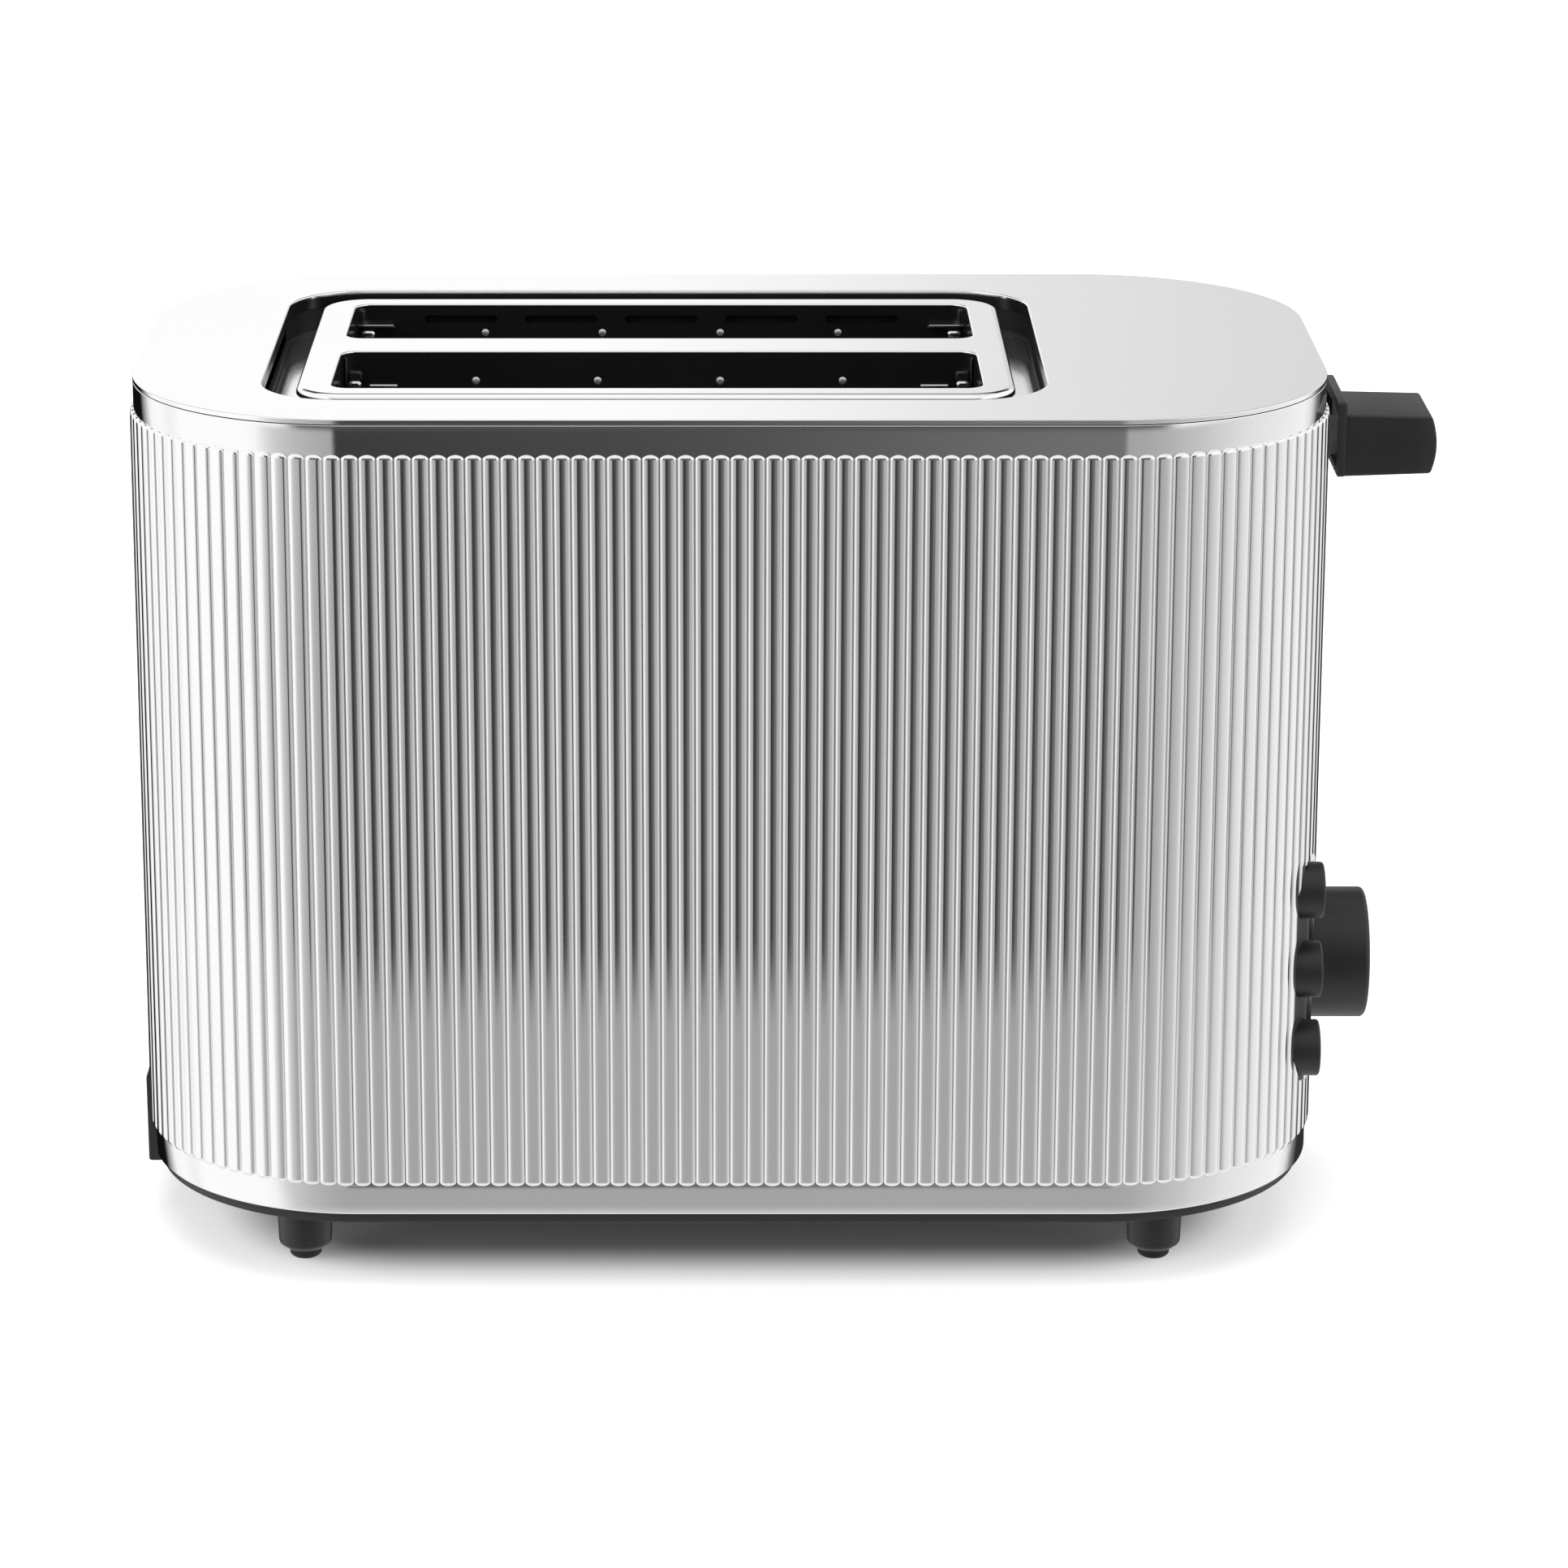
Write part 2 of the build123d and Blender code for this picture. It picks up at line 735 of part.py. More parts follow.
def lever_end_plate():
    """The chassis end on the lever side, with a top flange that holds the slide bar and the spring."""
    body = chassis_end(chamber_high_x, 1)
    near = chamber_high_x + chassis_sheet
    half = top_flange_half
    low = chassis_top - chassis_sheet
    body += block(near, near + top_flange_reach, -half, half, low, chassis_top)
    return body - slide_bar(fit_gap, low, chassis_top)


def reflector(side):
    """A bright sheet behind the outer heater, bent inwards below to lead crumbs to the tray."""
    out = chamber_half
    run, rise = out - reflector_foot_y, reflector_bend - reflector_foot_z
    slant = sqrt(run**2 + rise**2)
    profile = Polyline(
        (side * out, well_floor - liner_wall),
        (side * out, reflector_bend),
        (side * reflector_foot_y, reflector_foot_z),
        (side * reflector_foot_y, reflector_foot_z + reflector_sheet * slant / run),
        (side * (out - reflector_sheet), reflector_bend + reflector_sheet * (slant - rise) / run),
        (side * (out - reflector_sheet), well_floor - liner_wall),
        close=True,
    )
    face = Plane.YZ.offset(chamber_low_x) * make_face(profile)
    return extrude(face, chamber_high_x - chamber_low_x)


def heater_board(y):
    """One mica board with two tabs at each end that sit in the chassis ends."""
    low_x, high_x = chamber_low_x + board_inset, chamber_high_x - board_inset
    half = board_thickness / 2
    board = block(low_x, high_x, y - half, y + half, board_low, board_high)
    tab_low, tab_high = chamber_low_x - chassis_sheet, chamber_high_x + chassis_sheet
    for low in (board_low, board_high - board_tab):
        board += block(tab_low, tab_high, y - half, y + half, low, low + board_tab)
    return board


def heater_ribbon(y):
    """One flat heating ribbon wound round its board: level in front, stepping down behind."""
    low_x, high_x = chamber_low_x + board_inset, chamber_high_x - board_inset
    face = board_thickness / 2
    thick = ribbon_thickness
    top = board_high - ribbon_margin
    step = (board_high - board_low - 2 * ribbon_margin - ribbon_width) / ribbon_turns
    pieces = []
    for turn in range(ribbon_turns):
        z = top - turn * step
        pieces.append(block(low_x - thick, high_x + thick, y - face - thick, y - face, z - ribbon_width, z))
        pieces.append(block(high_x, high_x + thick, y - face, y + face + thick, z - ribbon_width, z))
        if turn == ribbon_turns - 1:
            continue
        slant = Polyline(
            (high_x + thick, z),
            (low_x - thick, z - step),
            (low_x - thick, z - step - ribbon_width),
            (high_x + thick, z - ribbon_width),
            close=True,
        )
        back = extrude(Plane.XZ.offset(-(y + face + thick)) * make_face(slant), thick)
        pieces.append(back)
        near, far = y - face - thick, y + face + thick
        pieces.append(block(low_x - thick, low_x, near, far, z - step - ribbon_width, z - step))
    return pieces[0].fuse(*pieces[1:])


def bread_guide(y, close):
    """One pressed guide with tall windows, ears on top and tabs that slide in the chassis ends."""
    low_x = well_x - slot_length / 2 - guide_end_gap
    high_x = well_x + slot_length / 2 + guide_end_gap
    length = high_x - low_x
    height = guide_high - guide_low
    shape = Pos(well_x, (guide_low + guide_high) / 2) * Rectangle(length, height)
    window = (length - guide_bar * (guide_windows + 1)) / guide_windows
    for number in range(guide_windows):
        x = low_x + guide_bar + window / 2 + number * (window + guide_bar)
        shape -= Pos(x, (guide_low + guide_high) / 2) * Rectangle(window, height - 2 * guide_bar)
    tab_out = chassis_sheet + board_inset / 2
    tab_low, tab_high = chamber_low_x - tab_out, chamber_high_x + tab_out
    for tab in (guide_tab_low, guide_tab_high):
        middle = Pos((tab_low + tab_high) / 2, tab + guide_tab / 2)
        reach = middle * Rectangle(tab_high - tab_low, guide_tab)
        shape += reach - Pos(well_x, tab + guide_tab / 2) * Rectangle(length - guide_bar, guide_tab)
    outer = y - close * guide_sheet
    body = extrude(Plane.XZ.offset(-max(y, outer)) * shape, guide_sheet)
    lip_low, lip_high = sorted((y, outer - close * guide_lip))
    return body + block(low_x, high_x, lip_low, lip_high, guide_high, guide_high + guide_sheet)


def bread_rack(side):
    """The strip that carries one slice: bent tabs on both sides, a tongue into the carriage."""
    y = side * slot_y
    half = rack_sheet / 2
    low_x = chamber_low_x - chassis_sheet - rack_tip
    strip = block(low_x, bracket_x, y - half, y + half, rack_low, rack_top)
    step = (rack_height - rack_tongue) / 2
    end = bracket_x + bracket_sheet
    strip += block(bracket_x, end, y - half, y + half, rack_low + step, rack_top - step)
    reach = rack_tab_length / 2
    for number in range(rack_tabs):
        x = well_x + (number - (rack_tabs - 1) / 2) * rack_tab_pitch
        way = 1 if number % 2 else -1
        low, high = sorted((y + way * half, y + way * rack_tab_width))
        strip += block(x - reach, x + reach, low, high, rack_top - rack_sheet, rack_top)
    return strip


def carriage_bracket():
    """The bent sheet that slides on the bar, carrying the racks, the lever arm and the keeper."""
    high_y = slide_y + lug_half
    bar = Pos(0, (bracket_bar_low + bracket_bar_high) / 2) * Rectangle(
        2 * bracket_bar_half, bracket_bar_high - bracket_bar_low
    )
    stem_middle = (bracket_stem_low_y + high_y) / 2
    stem = Pos(stem_middle, (bracket_bar_low + bracket_top) / 2) * Rectangle(
        high_y - bracket_stem_low_y, bracket_top - bracket_bar_low
    )
    face = bar + stem
    for side in (-1, 1):
        middle = Pos(side * slot_y, rack_low + rack_height / 2)
        face -= middle * Rectangle(rack_sheet, rack_tongue)
    body = extrude(Plane.YZ.offset(bracket_x) * face, bracket_sheet)
    near = bracket_x + bracket_sheet
    far = near + lug_reach
    low_lug, top_lug = bracket_bar_low, arm_high - lug_sheet
    body += block(near, far, magnet_y - lug_half, high_y, low_lug, low_lug + lug_sheet)
    body += block(near, far, slide_y - lug_half, high_y, top_lug, top_lug + lug_sheet)
    return body - slide_bar(slide_fit, bracket_bar_low, bracket_top)


def slide_bar(grow, low, high):
    """The upright bar of the carriage, or with some growth the hole for it."""
    half_x, half_y = slide_length / 2 + grow, slide_width / 2 + grow
    return block(slide_x - half_x, slide_x + half_x, slide_y - half_y, slide_y + half_y, low, high)


def keeper_plate():
    """The steel block that the magnet holds when the lever is down."""
    half = keeper_length / 2
    return block(
        magnet_x - half, magnet_x + half, magnet_y - magnet_width / 2, magnet_y + magnet_width / 2,
        keeper_z, bracket_bar_low
    )


def lever_arm():
    """The flat arm from the carriage through the slot in the sleeve, with a foot on the bracket."""
    near = bracket_x + bracket_sheet
    half = arm_thickness / 2
    arm = block(near, arm_end, -half, half, arm_low, arm_high)
    foot = bracket_stem_low_y + arm_foot_step
    return arm + block(near, near + arm_thickness, foot, -half, arm_low, arm_high)


def lever_handle():
    """The moulded lever: a flange beside the body and a grip whose sides and end are crowned."""
    flange_face = Pos(0, lever_middle) * Rectangle(2 * lever_flange_half, lever_flange_height)
    flange = extrude(Plane.YZ.offset(lever_flange_x) * flange_face, lever_flange_thickness)
    flange = chamfer(flange.edges().group_by(Axis.X)[-1], lever_chamfer)
    # Section of the grip, seen from its end: flat on top, crowned sides that reach the flange's edge
    top, low = lever_grip_high, lever_grip_low
    narrow, wide = lever_grip_half - lever_taper, lever_flange_half - lever_round
    belly = low + lever_grip_height * lever_belly
    swell, tuck = wide - lever_swell, wide - lever_tuck
    left = ThreePointArc((-narrow, top), (-swell, (top + belly) / 2), (-wide, belly))
    right = ThreePointArc((wide, belly), (swell, (top + belly) / 2), (narrow, top))
    under = Polyline((-wide, belly), (-tuck, low), (tuck, low), (wide, belly))
    section = make_face(Line((narrow, top), (-narrow, top)) + left + under + right)
    section = fillet(section.vertices().sort_by(Axis.Y)[-2:], lever_round)
    grip = extrude(Plane.YZ.offset(lever_flange_out) * section, lever_grip_length)
    # Crowned end, seen from the front
    square = lever_reach - lever_bulge
    over, under = top + cut_past, low - cut_past
    back = lever_flange_out - cut_past
    crown = ThreePointArc((square, over), (lever_reach, (top + low) / 2), (square, under))
    side = make_face(crown + Polyline((square, under), (back, under), (back, over), (square, over)))
    grip &= extrude(Plane.XZ * side, lever_flange_half, both=True)
    handle = flange + grip
    # Open recess towards the body, and a close socket for the arm
    wall = lever_wall
    inner = lever_grip_half - wall
    hollow_end = lever_flange_x + lever_hollow
    handle -= block(lever_flange_x, hollow_end, -inner, inner, low + wall, top - wall)
    half = arm_thickness / 2
    return handle - block(lever_flange_x, arm_end, -half, half, arm_low, arm_high)


def lever_slot_liner():
    """The black guide behind the sleeve's lever slot."""
    outer = body_length / 2 - shell_wall
    half = lever_slot_half + liner_border
    inner = outer - liner_depth
    plate = block(inner, outer, -half, half, lever_slot_low - liner_border, lever_slot_high + liner_border)
    hole = block(inner, outer, -lever_slot_half, lever_slot_half, lever_slot_low, lever_slot_high)
    return plate - hole


def carriage_slide():
    """The upright bar that the carriage slides on."""
    return slide_bar(0.0, floor_z, chassis_top + slide_end)


def latch_magnet():
    """The magnet's iron core: a foot on the base and two poles up to the keeper's lowest place."""
    top = keeper_z - lever_travel - magnet_gap
    half_x, half_y = magnet_length / 2, magnet_width / 2
    shape = Polyline(
        (magnet_x - half_x, floor_z),
        (magnet_x - half_x, top),
        (magnet_x - half_x + magnet_pole, top),
        (magnet_x - half_x + magnet_pole, floor_z + magnet_foot),
        (magnet_x + half_x - magnet_pole, floor_z + magnet_foot),
        (magnet_x + half_x - magnet_pole, top),
        (magnet_x + half_x, top),
        (magnet_x + half_x, floor_z),
        close=True,
    )
    return extrude(Plane.XZ.offset(-magnet_y) * make_face(shape), half_y, both=True)


def magnet_coil():
    """The coil on its bobbin, between the magnet's poles."""
    half_x = magnet_length / 2 - magnet_pole
    half_y = magnet_width / 2
    low = floor_z + magnet_foot
    high = keeper_z - lever_travel - magnet_gap - magnet_pole
    return block(magnet_x - half_x, magnet_x + half_x, magnet_y - half_y, magnet_y + half_y, low, high)


def return_spring():
    """The close-wound return spring, at rest between the carriage lug and the chassis flange."""
    low = bracket_bar_low + lug_sheet
    high = chassis_top - chassis_sheet
    radius = spring_diameter / 2
    coil = upright(radius, magnet_x, magnet_y, low + spring_hook, high - spring_hook)
    half = spring_wire / 2
    for start, end in ((low, low + spring_hook), (high - spring_hook, high)):
        coil += block(magnet_x - half, magnet_x + half, magnet_y - radius, magnet_y + radius, start, end)
    return coil


def terminal_block():
    """The mains terminals, with one well for each wire."""
    half_x, half_y = terminal_length / 2, terminal_width / 2
    x, y = terminal_x, terminal_y
    top = floor_z + terminal_height
    body = block(x - half_x, x + half_x, y - half_y, y + half_y, floor_z, top)
    pitch = terminal_length / terminal_ways
    half = terminal_well / 2
    bottom = top - terminal_well_depth
    for way in range(terminal_ways):
        x = terminal_x + (way - (terminal_ways - 1) / 2) * pitch
        body -= block(x - half, x + half, y - half, y + half, bottom, top)
    return body


def cord_gland():
    """The bush in the base floor that a mains cord passes through, with a wider mouth below."""
    place = Pos(gland_x, gland_y)
    outer = Rectangle(gland_body, gland_body)
    step = base_z + gland_mouth_depth
    mouth = prism(place * (outer - Rectangle(gland_mouth, gland_mouth)), base_z, step)
    return mouth + prism(place * (outer - Circle(gland_bore / 2)), step, base_z + gland_height)


def all_parts():
    """Every node of the toaster by name."""
    parts = {
        "body_shell": body_shell(),
        "top_plate": top_plate(),
        "well_liner": well_liner(),
        "slot_frame": slot_frame(),
        "base_plate": base_plate(),
        "sleeve_upstands": sleeve_upstands(),
        "tray_rails": tray_rails(),
        "board_posts": board_posts(),
        "foot_posts": foot_posts(),
        "foot_pads": foot_pads(),
        "control_panel": control_panel(),
        "lever_slot_liner": lever_slot_liner(),
        "far_end_plate": far_end_plate(),
        "lever_end_plate": lever_end_plate(),
        "front_reflector": reflector(-1),
        "rear_reflector": reflector(1),
        "carriage_slide": carriage_slide(),
        "latch_magnet": latch_magnet(),
        "magnet_coil": magnet_coil(),
        "control_board": control_board(),
        "control_dial": control_dial(),
        "terminal_block": terminal_block(),
        "cord_gland": cord_gland(),
        "lever_handle": lever_handle(),
        "lever_arm": lever_arm(),
        "carriage_bracket": carriage_bracket(),
        "keeper_plate": keeper_plate(),
        "return_spring": return_spring(),
        "bread_rack_front": bread_rack(-1),
        "bread_rack_rear": bread_rack(1),
        "browning_knob": browning_knob(),
        "crumb_tray_pan": crumb_tray_pan(),
        "crumb_tray_sides": crumb_tray_sides(),
        "crumb_tray_front": crumb_tray_front(),
    }
    for z, name in zip(button_zs, ("upper", "middle", "lower")):
        parts[name + "_button"] = button(z)
        parts[name + "_switch"] = button_switch(z)
    for y, name in ((-outer_board_y, "front"), (0, "centre"), (outer_board_y, "rear")):
        parts[name + "_heater_board"] = heater_board(y)
        parts[name + "_heater_ribbon"] = heater_ribbon(y)
    for name, y, close in guide_ys():
        parts[name + "_bread_guide"] = bread_guide(y, close)
    return parts


# The origin stands on the table under the middle of the whole toaster, lever and tray included
to_origin = Pos(-(lever_reach - tray_reach) / 2, 0, 0)

os.makedirs("parts", exist_ok=True)
for node, shape in all_parts().items():
    export_step(to_origin * shape, "parts/" + node + ".step")
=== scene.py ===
import json
from math import cos, pi, radians, sin

import bmesh
import bpy
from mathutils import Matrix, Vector
from mathutils.geometry import tessellate_polygon

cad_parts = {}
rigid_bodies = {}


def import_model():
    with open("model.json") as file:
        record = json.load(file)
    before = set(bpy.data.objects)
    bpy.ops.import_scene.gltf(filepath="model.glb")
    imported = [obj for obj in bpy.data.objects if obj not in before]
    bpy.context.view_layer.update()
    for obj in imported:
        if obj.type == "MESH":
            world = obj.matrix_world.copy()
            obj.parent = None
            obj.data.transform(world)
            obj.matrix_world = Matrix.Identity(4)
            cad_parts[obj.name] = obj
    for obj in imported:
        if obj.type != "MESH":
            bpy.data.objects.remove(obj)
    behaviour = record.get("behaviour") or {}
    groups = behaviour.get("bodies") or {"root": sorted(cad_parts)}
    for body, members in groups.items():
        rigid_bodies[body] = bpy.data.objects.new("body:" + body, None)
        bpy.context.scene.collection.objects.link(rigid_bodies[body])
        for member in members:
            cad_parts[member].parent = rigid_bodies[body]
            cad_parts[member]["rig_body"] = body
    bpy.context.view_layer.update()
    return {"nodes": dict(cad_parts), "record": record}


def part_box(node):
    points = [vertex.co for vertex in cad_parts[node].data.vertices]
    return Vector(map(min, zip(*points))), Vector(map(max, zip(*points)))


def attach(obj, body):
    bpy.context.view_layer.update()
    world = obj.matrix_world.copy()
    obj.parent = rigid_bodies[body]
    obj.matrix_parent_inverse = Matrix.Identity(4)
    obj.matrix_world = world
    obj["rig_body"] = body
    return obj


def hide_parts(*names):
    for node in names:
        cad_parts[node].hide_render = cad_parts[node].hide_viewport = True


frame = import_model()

# Lengths are in millimetres here and become metres in the meshes. X, Y and Z are the row frame's.
MM = 0.001


def low_high(node):
    """A node's lowest and highest corners in millimetres."""
    low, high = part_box(node)
    return [value / MM for value in low], [value / MM for value in high]


def frame_body(node):
    """The body that a solid belongs to."""
    return frame["nodes"][node]["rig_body"]


# Sizes of the body, the same as the solids'
SHELL_LOW, SHELL_HIGH = low_high("body_shell")
MIDDLE_X = (SHELL_LOW[0] + SHELL_HIGH[0]) / 2
BODY_LENGTH = 272.0
BODY_WIDTH = 155.9
CORNER = 50.4
KNOB_END = MIDDLE_X + BODY_LENGTH / 2
TRAY_END = MIDDLE_X - BODY_LENGTH / 2
WALL = 1.2
SHELL_Z = 17.3
PANEL_Y = -43.0
PANEL_WIDTH = 17.5
PANEL_HEIGHT = 56.5
PANEL_Z = 64.8
KNOB_Z = 54.0
TRAY_HALF = 31.0
TRAY_TOP = 33.5
LEVER_SLOT_LOW = 102.5
LEVER_SLOT_HIGH = 187.5
# The sleeve's band and ribs, which are a little fuller here than the solid's
SHELL_TOP = 203.28
BAND_OUT = 0.8
RIB_PITCH = 3.91
RIB_HALF = 1.89
RIB_HEIGHT = 0.85
RIB_TIP = 1.1
RIB_LOW = SHELL_Z + 7.0
RIB_HIGH = SHELL_TOP - 6.63
# The plain band that the ribs leave beside and above the tray's door
DOOR_MARGIN = 1.2
DOOR_LIFT = 4.6


# Shader nodes


class Graph:
    """The shader nodes of a material or of the world, and short ways to add to them."""

    def __init__(self, owner):
        owner.use_nodes = True
        self.nodes, self.links = owner.node_tree.nodes, owner.node_tree.links

    def feed(self, socket, value):
        """Links an input, or gives it a constant value."""
        if isinstance(value, bpy.types.NodeSocket):
            self.links.new(value, socket)
        else:
            socket.default_value = value

    def new(self, kind, inputs=None, **settings):
        """A node with its settings, and its inputs fed by name or number."""
        node = self.nodes.new(kind)
        for name, value in settings.items():
            setattr(node, name, value)
        for key, value in (inputs or {}).items():
            self.feed(node.inputs[key], value)
        return node

    def math(self, kind, *values):
        """One step of arithmetic on sockets or numbers."""
        return self.new("ShaderNodeMath", dict(enumerate(values)), operation=kind).outputs[0]

    def stretched(self, value, low, high, kind="SMOOTHSTEP"):
        """A value from 0 at low to 1 at high."""
        inputs = {"Value": value, "From Min": low, "From Max": high}
        return self.new("ShaderNodeMapRange", inputs, interpolation_type=kind).outputs[0]

    def blend(self, share, first, second, kind="MIX"):
        """One colour turning into another by a share, or another kind of blend."""
        inputs = {"Factor": share, "A": first, "B": second}
        return self.new("ShaderNodeMix", inputs, data_type="RGBA", blend_type=kind).outputs["Result"]

    def ramp(self, value, stops, low, high):
        """A grey ramp over a value between low and high, from stops of value and grey."""
        ramp = self.new("ShaderNodeValToRGB", {"Fac": self.stretched(value, low, high, "LINEAR")})
        ramp.color_ramp.interpolation = "LINEAR"
        marks = ramp.color_ramp.elements
        marks[-1].position = (stops[-1][0] - low) / (high - low)
        marks[0].position = (stops[0][0] - low) / (high - low)
        for place, grey in stops[1:-1]:
            marks.new((place - low) / (high - low))
        for mark, (place, grey) in zip(marks, stops):
            mark.color = (grey, grey, grey, 1)
        return ramp.outputs["Color"]


# Camera, floor and light


def camera():
    """The photograph's camera, level from left to right and looking down at the toaster."""
    data = bpy.data.cameras.new("camera")
    data.sensor_width = 36.0
    data.lens = 123.11
    data.shift_x = 0.04037
    data.shift_y = -0.09886
    data.clip_start = 0.05
    data.clip_end = 50.0
    eye = bpy.data.objects.new("camera", data)
    eye.location = (-0.01532, -1.22859, 0.47668)
    eye.rotation_euler = (radians(90 - 15.546), 0, 0)
    bpy.context.scene.collection.objects.link(eye)
    bpy.context.scene.camera = eye


# The floor's own glow under and near the toaster, where 1 is the full white of its far parts: this weaker
# glow is painted shade that keeps the floor near the toaster darker
FLOOR_LIFT = 0.45
# The painted shadow under the toaster: half the length and width in metres of the patch where the floor's
# glow is cut out, and where it starts and ends to fade back in around that
PAINTED_SHADOW_X, PAINTED_SHADOW_Y = 0.075, 0.027
FADE_FROM, FADE_TO = 0.027, 0.05
# The distances in metres between which the glow rises to full white
RISE_FROM, RISE_TO = 0.3, 2.0


def floor():
    """A white floor that keeps the toaster's shadow, with a painted shadow too: its glow for the eye is cut
    out under the toaster and weaker near it.
    """
    reach = 12.0
    corners = [(-reach, -reach, 0), (reach, -reach, 0), (reach, reach, 0), (-reach, reach, 0)]
    data = bpy.data.meshes.new("floor")
    data.from_pydata(corners, [], [(0, 1, 2, 3)])
    plane = bpy.data.objects.new("floor", data)
    bpy.context.scene.collection.objects.link(plane)
    material = bpy.data.materials.new("floor")
    graph = Graph(material)
    graph.nodes.clear()
    place = graph.new("ShaderNodeTexCoord").outputs["Object"]
    x, y = graph.new("ShaderNodeSeparateXYZ", {0: place}).outputs[:2]
    # Painted shadow: how far each point lies outside the patch under the toaster where the glow is cut out
    squares = []
    for beside, half in ((graph.math("ADD", x, -MIDDLE_X * MM), PAINTED_SHADOW_X), (y, PAINTED_SHADOW_Y)):
        over = graph.math("MAXIMUM", graph.math("ADD", graph.math("ABSOLUTE", beside), -half), 0.0)
        squares.append(graph.math("POWER", over, 2.0))
    outside = graph.math("SQRT", graph.math("ADD", *squares))
    eye = graph.new("ShaderNodeLightPath").outputs["Is Camera Ray"]
    shown = graph.math("MULTIPLY", eye, graph.stretched(outside, FADE_FROM, FADE_TO))
    # Painted shade: the glow is weaker near the toaster and rises to full white far off
    far = graph.new("ShaderNodeVectorMath", {0: place}, operation="LENGTH").outputs["Value"]
    rise = graph.stretched(far, RISE_FROM, RISE_TO)
    lift = graph.math("MULTIPLY_ADD", rise, 1 - FLOOR_LIFT, FLOOR_LIFT)
    strength = graph.math("MULTIPLY", shown, lift)
    plain = graph.new("ShaderNodeBsdfDiffuse", {"Color": (0.8, 0.8, 0.8, 1)})
    glow = graph.new("ShaderNodeEmission", {"Color": (1, 1, 1, 1), "Strength": strength})
    both = graph.new("ShaderNodeAddShader", {0: plain.outputs[0], 1: glow.outputs[0]})
    graph.new("ShaderNodeOutputMaterial", {"Surface": both.outputs[0]})
    data.materials.append(material)
    plane.visible_glossy = False


# The plain light from all sides
WORLD_LIGHT = 0.5
# What vertical steel reflects, by the compass angle from the front, negative to the left: degrees and light
AROUND = [
    (-180, 0.02), (-165, 0.005), (-141, 0.005), (-133, 0.5), (-127, 0.93), (-118, 0.98), (-107, 0.9),
    (-97, 1.0), (-55, 1.0), (-49, 0.94), (-43, 0.72), (-38, 0.6), (-28, 0.49), (-19, 0.43), (-10, 0.39),
    (10, 0.38), (19, 0.4), (29, 0.45), (38, 0.51), (47, 0.56), (56, 0.64), (66, 0.7), (75, 0.77),
    (93, 0.83), (112, 0.9), (121, 0.93), (129, 0.78), (138, 0.2), (146, 0.03), (180, 0.03),
]
# The dark card in front: light across it by the same angle, its half width, its lower edge's sine, and
# how far its sides and its lower edge blur
CARD = [(-20, 0.04), (-4, 0.045), (0, 0.075), (4, 0.165), (20, 0.19)]
CARD_HALF = 8.8
CARD_LOW = -0.374
CARD_SIDE_BLUR, CARD_LOW_BLUR = 1.2, 0.022
# The pale ground that reflections see below the cards: its grey and the sines where it starts and is full
GROUND = 0.85
GROUND_START, GROUND_FULL = -0.52, -0.66
# What lies above the horizon, by the sine of the height: behind and in front, and plain to the sides
BEHIND = [(0.0, 1.0), (0.4, 1.0), (0.45, 0.04), (0.76, 0.05), (0.82, 0.95), (1.0, 1.0)]
BEFORE = [(0.0, 0.08), (0.35, 0.12), (0.6, 0.85), (1.0, 1.0)]
ASIDE = 1.0
# The back light falls off from left to right
SIDEWAYS = [(-0.2, 1.0), (-0.02, 1.0), (0.02, 0.9), (0.05, 0.79), (0.09, 0.73), (0.12, 0.7), (0.2, 0.68)]
# How softly these parts meet: level and sky, front and back, and where the plain sides start and are full
HORIZON_BLUR = 0.04
FRONT_BLUR = 0.15
SIDE_START, SIDE_FULL = 0.42, 0.62


def reflections(graph):
    """What steel reflects: light and dark cards by direction."""
    place = graph.new("ShaderNodeTexCoord").outputs["Generated"]
    x, y, z = graph.new("ShaderNodeSeparateXYZ", {0: place}).outputs
    compass = graph.math("DEGREES", graph.math("ARCTAN2", x, graph.math("MULTIPLY", y, -1.0)))
    # Level with the toaster and below: the cards around it, the dark card in front and the ground
    off_front = graph.math("ABSOLUTE", compass)
    across = graph.stretched(off_front, CARD_HALF + CARD_SIDE_BLUR, CARD_HALF - CARD_SIDE_BLUR)
    tall = graph.stretched(z, CARD_LOW - CARD_LOW_BLUR, CARD_LOW + CARD_LOW_BLUR)
    around = graph.ramp(compass, AROUND, -180, 180)
    card = graph.ramp(compass, CARD, -20, 20)
    level = graph.blend(graph.math("MULTIPLY", across, tall), around, card)
    below = graph.stretched(z, GROUND_START, GROUND_FULL)
    level = graph.blend(below, level, (GROUND, GROUND, GROUND, 1))
    # Above the horizon
    sideways = graph.ramp(x, SIDEWAYS, -0.2, 0.2)
    behind = graph.blend(1.0, graph.ramp(z, BEHIND, 0, 1), sideways, "MULTIPLY")
    before = graph.ramp(z, BEFORE, 0, 1)
    middle = graph.blend(graph.stretched(y, FRONT_BLUR, -FRONT_BLUR), behind, before)
    side_share = graph.stretched(graph.math("ABSOLUTE", x), SIDE_START, SIDE_FULL)
    sky = graph.blend(side_share, middle, (ASIDE, ASIDE, ASIDE, 1))
    return graph.blend(graph.stretched(z, -HORIZON_BLUR, HORIZON_BLUR), level, sky)


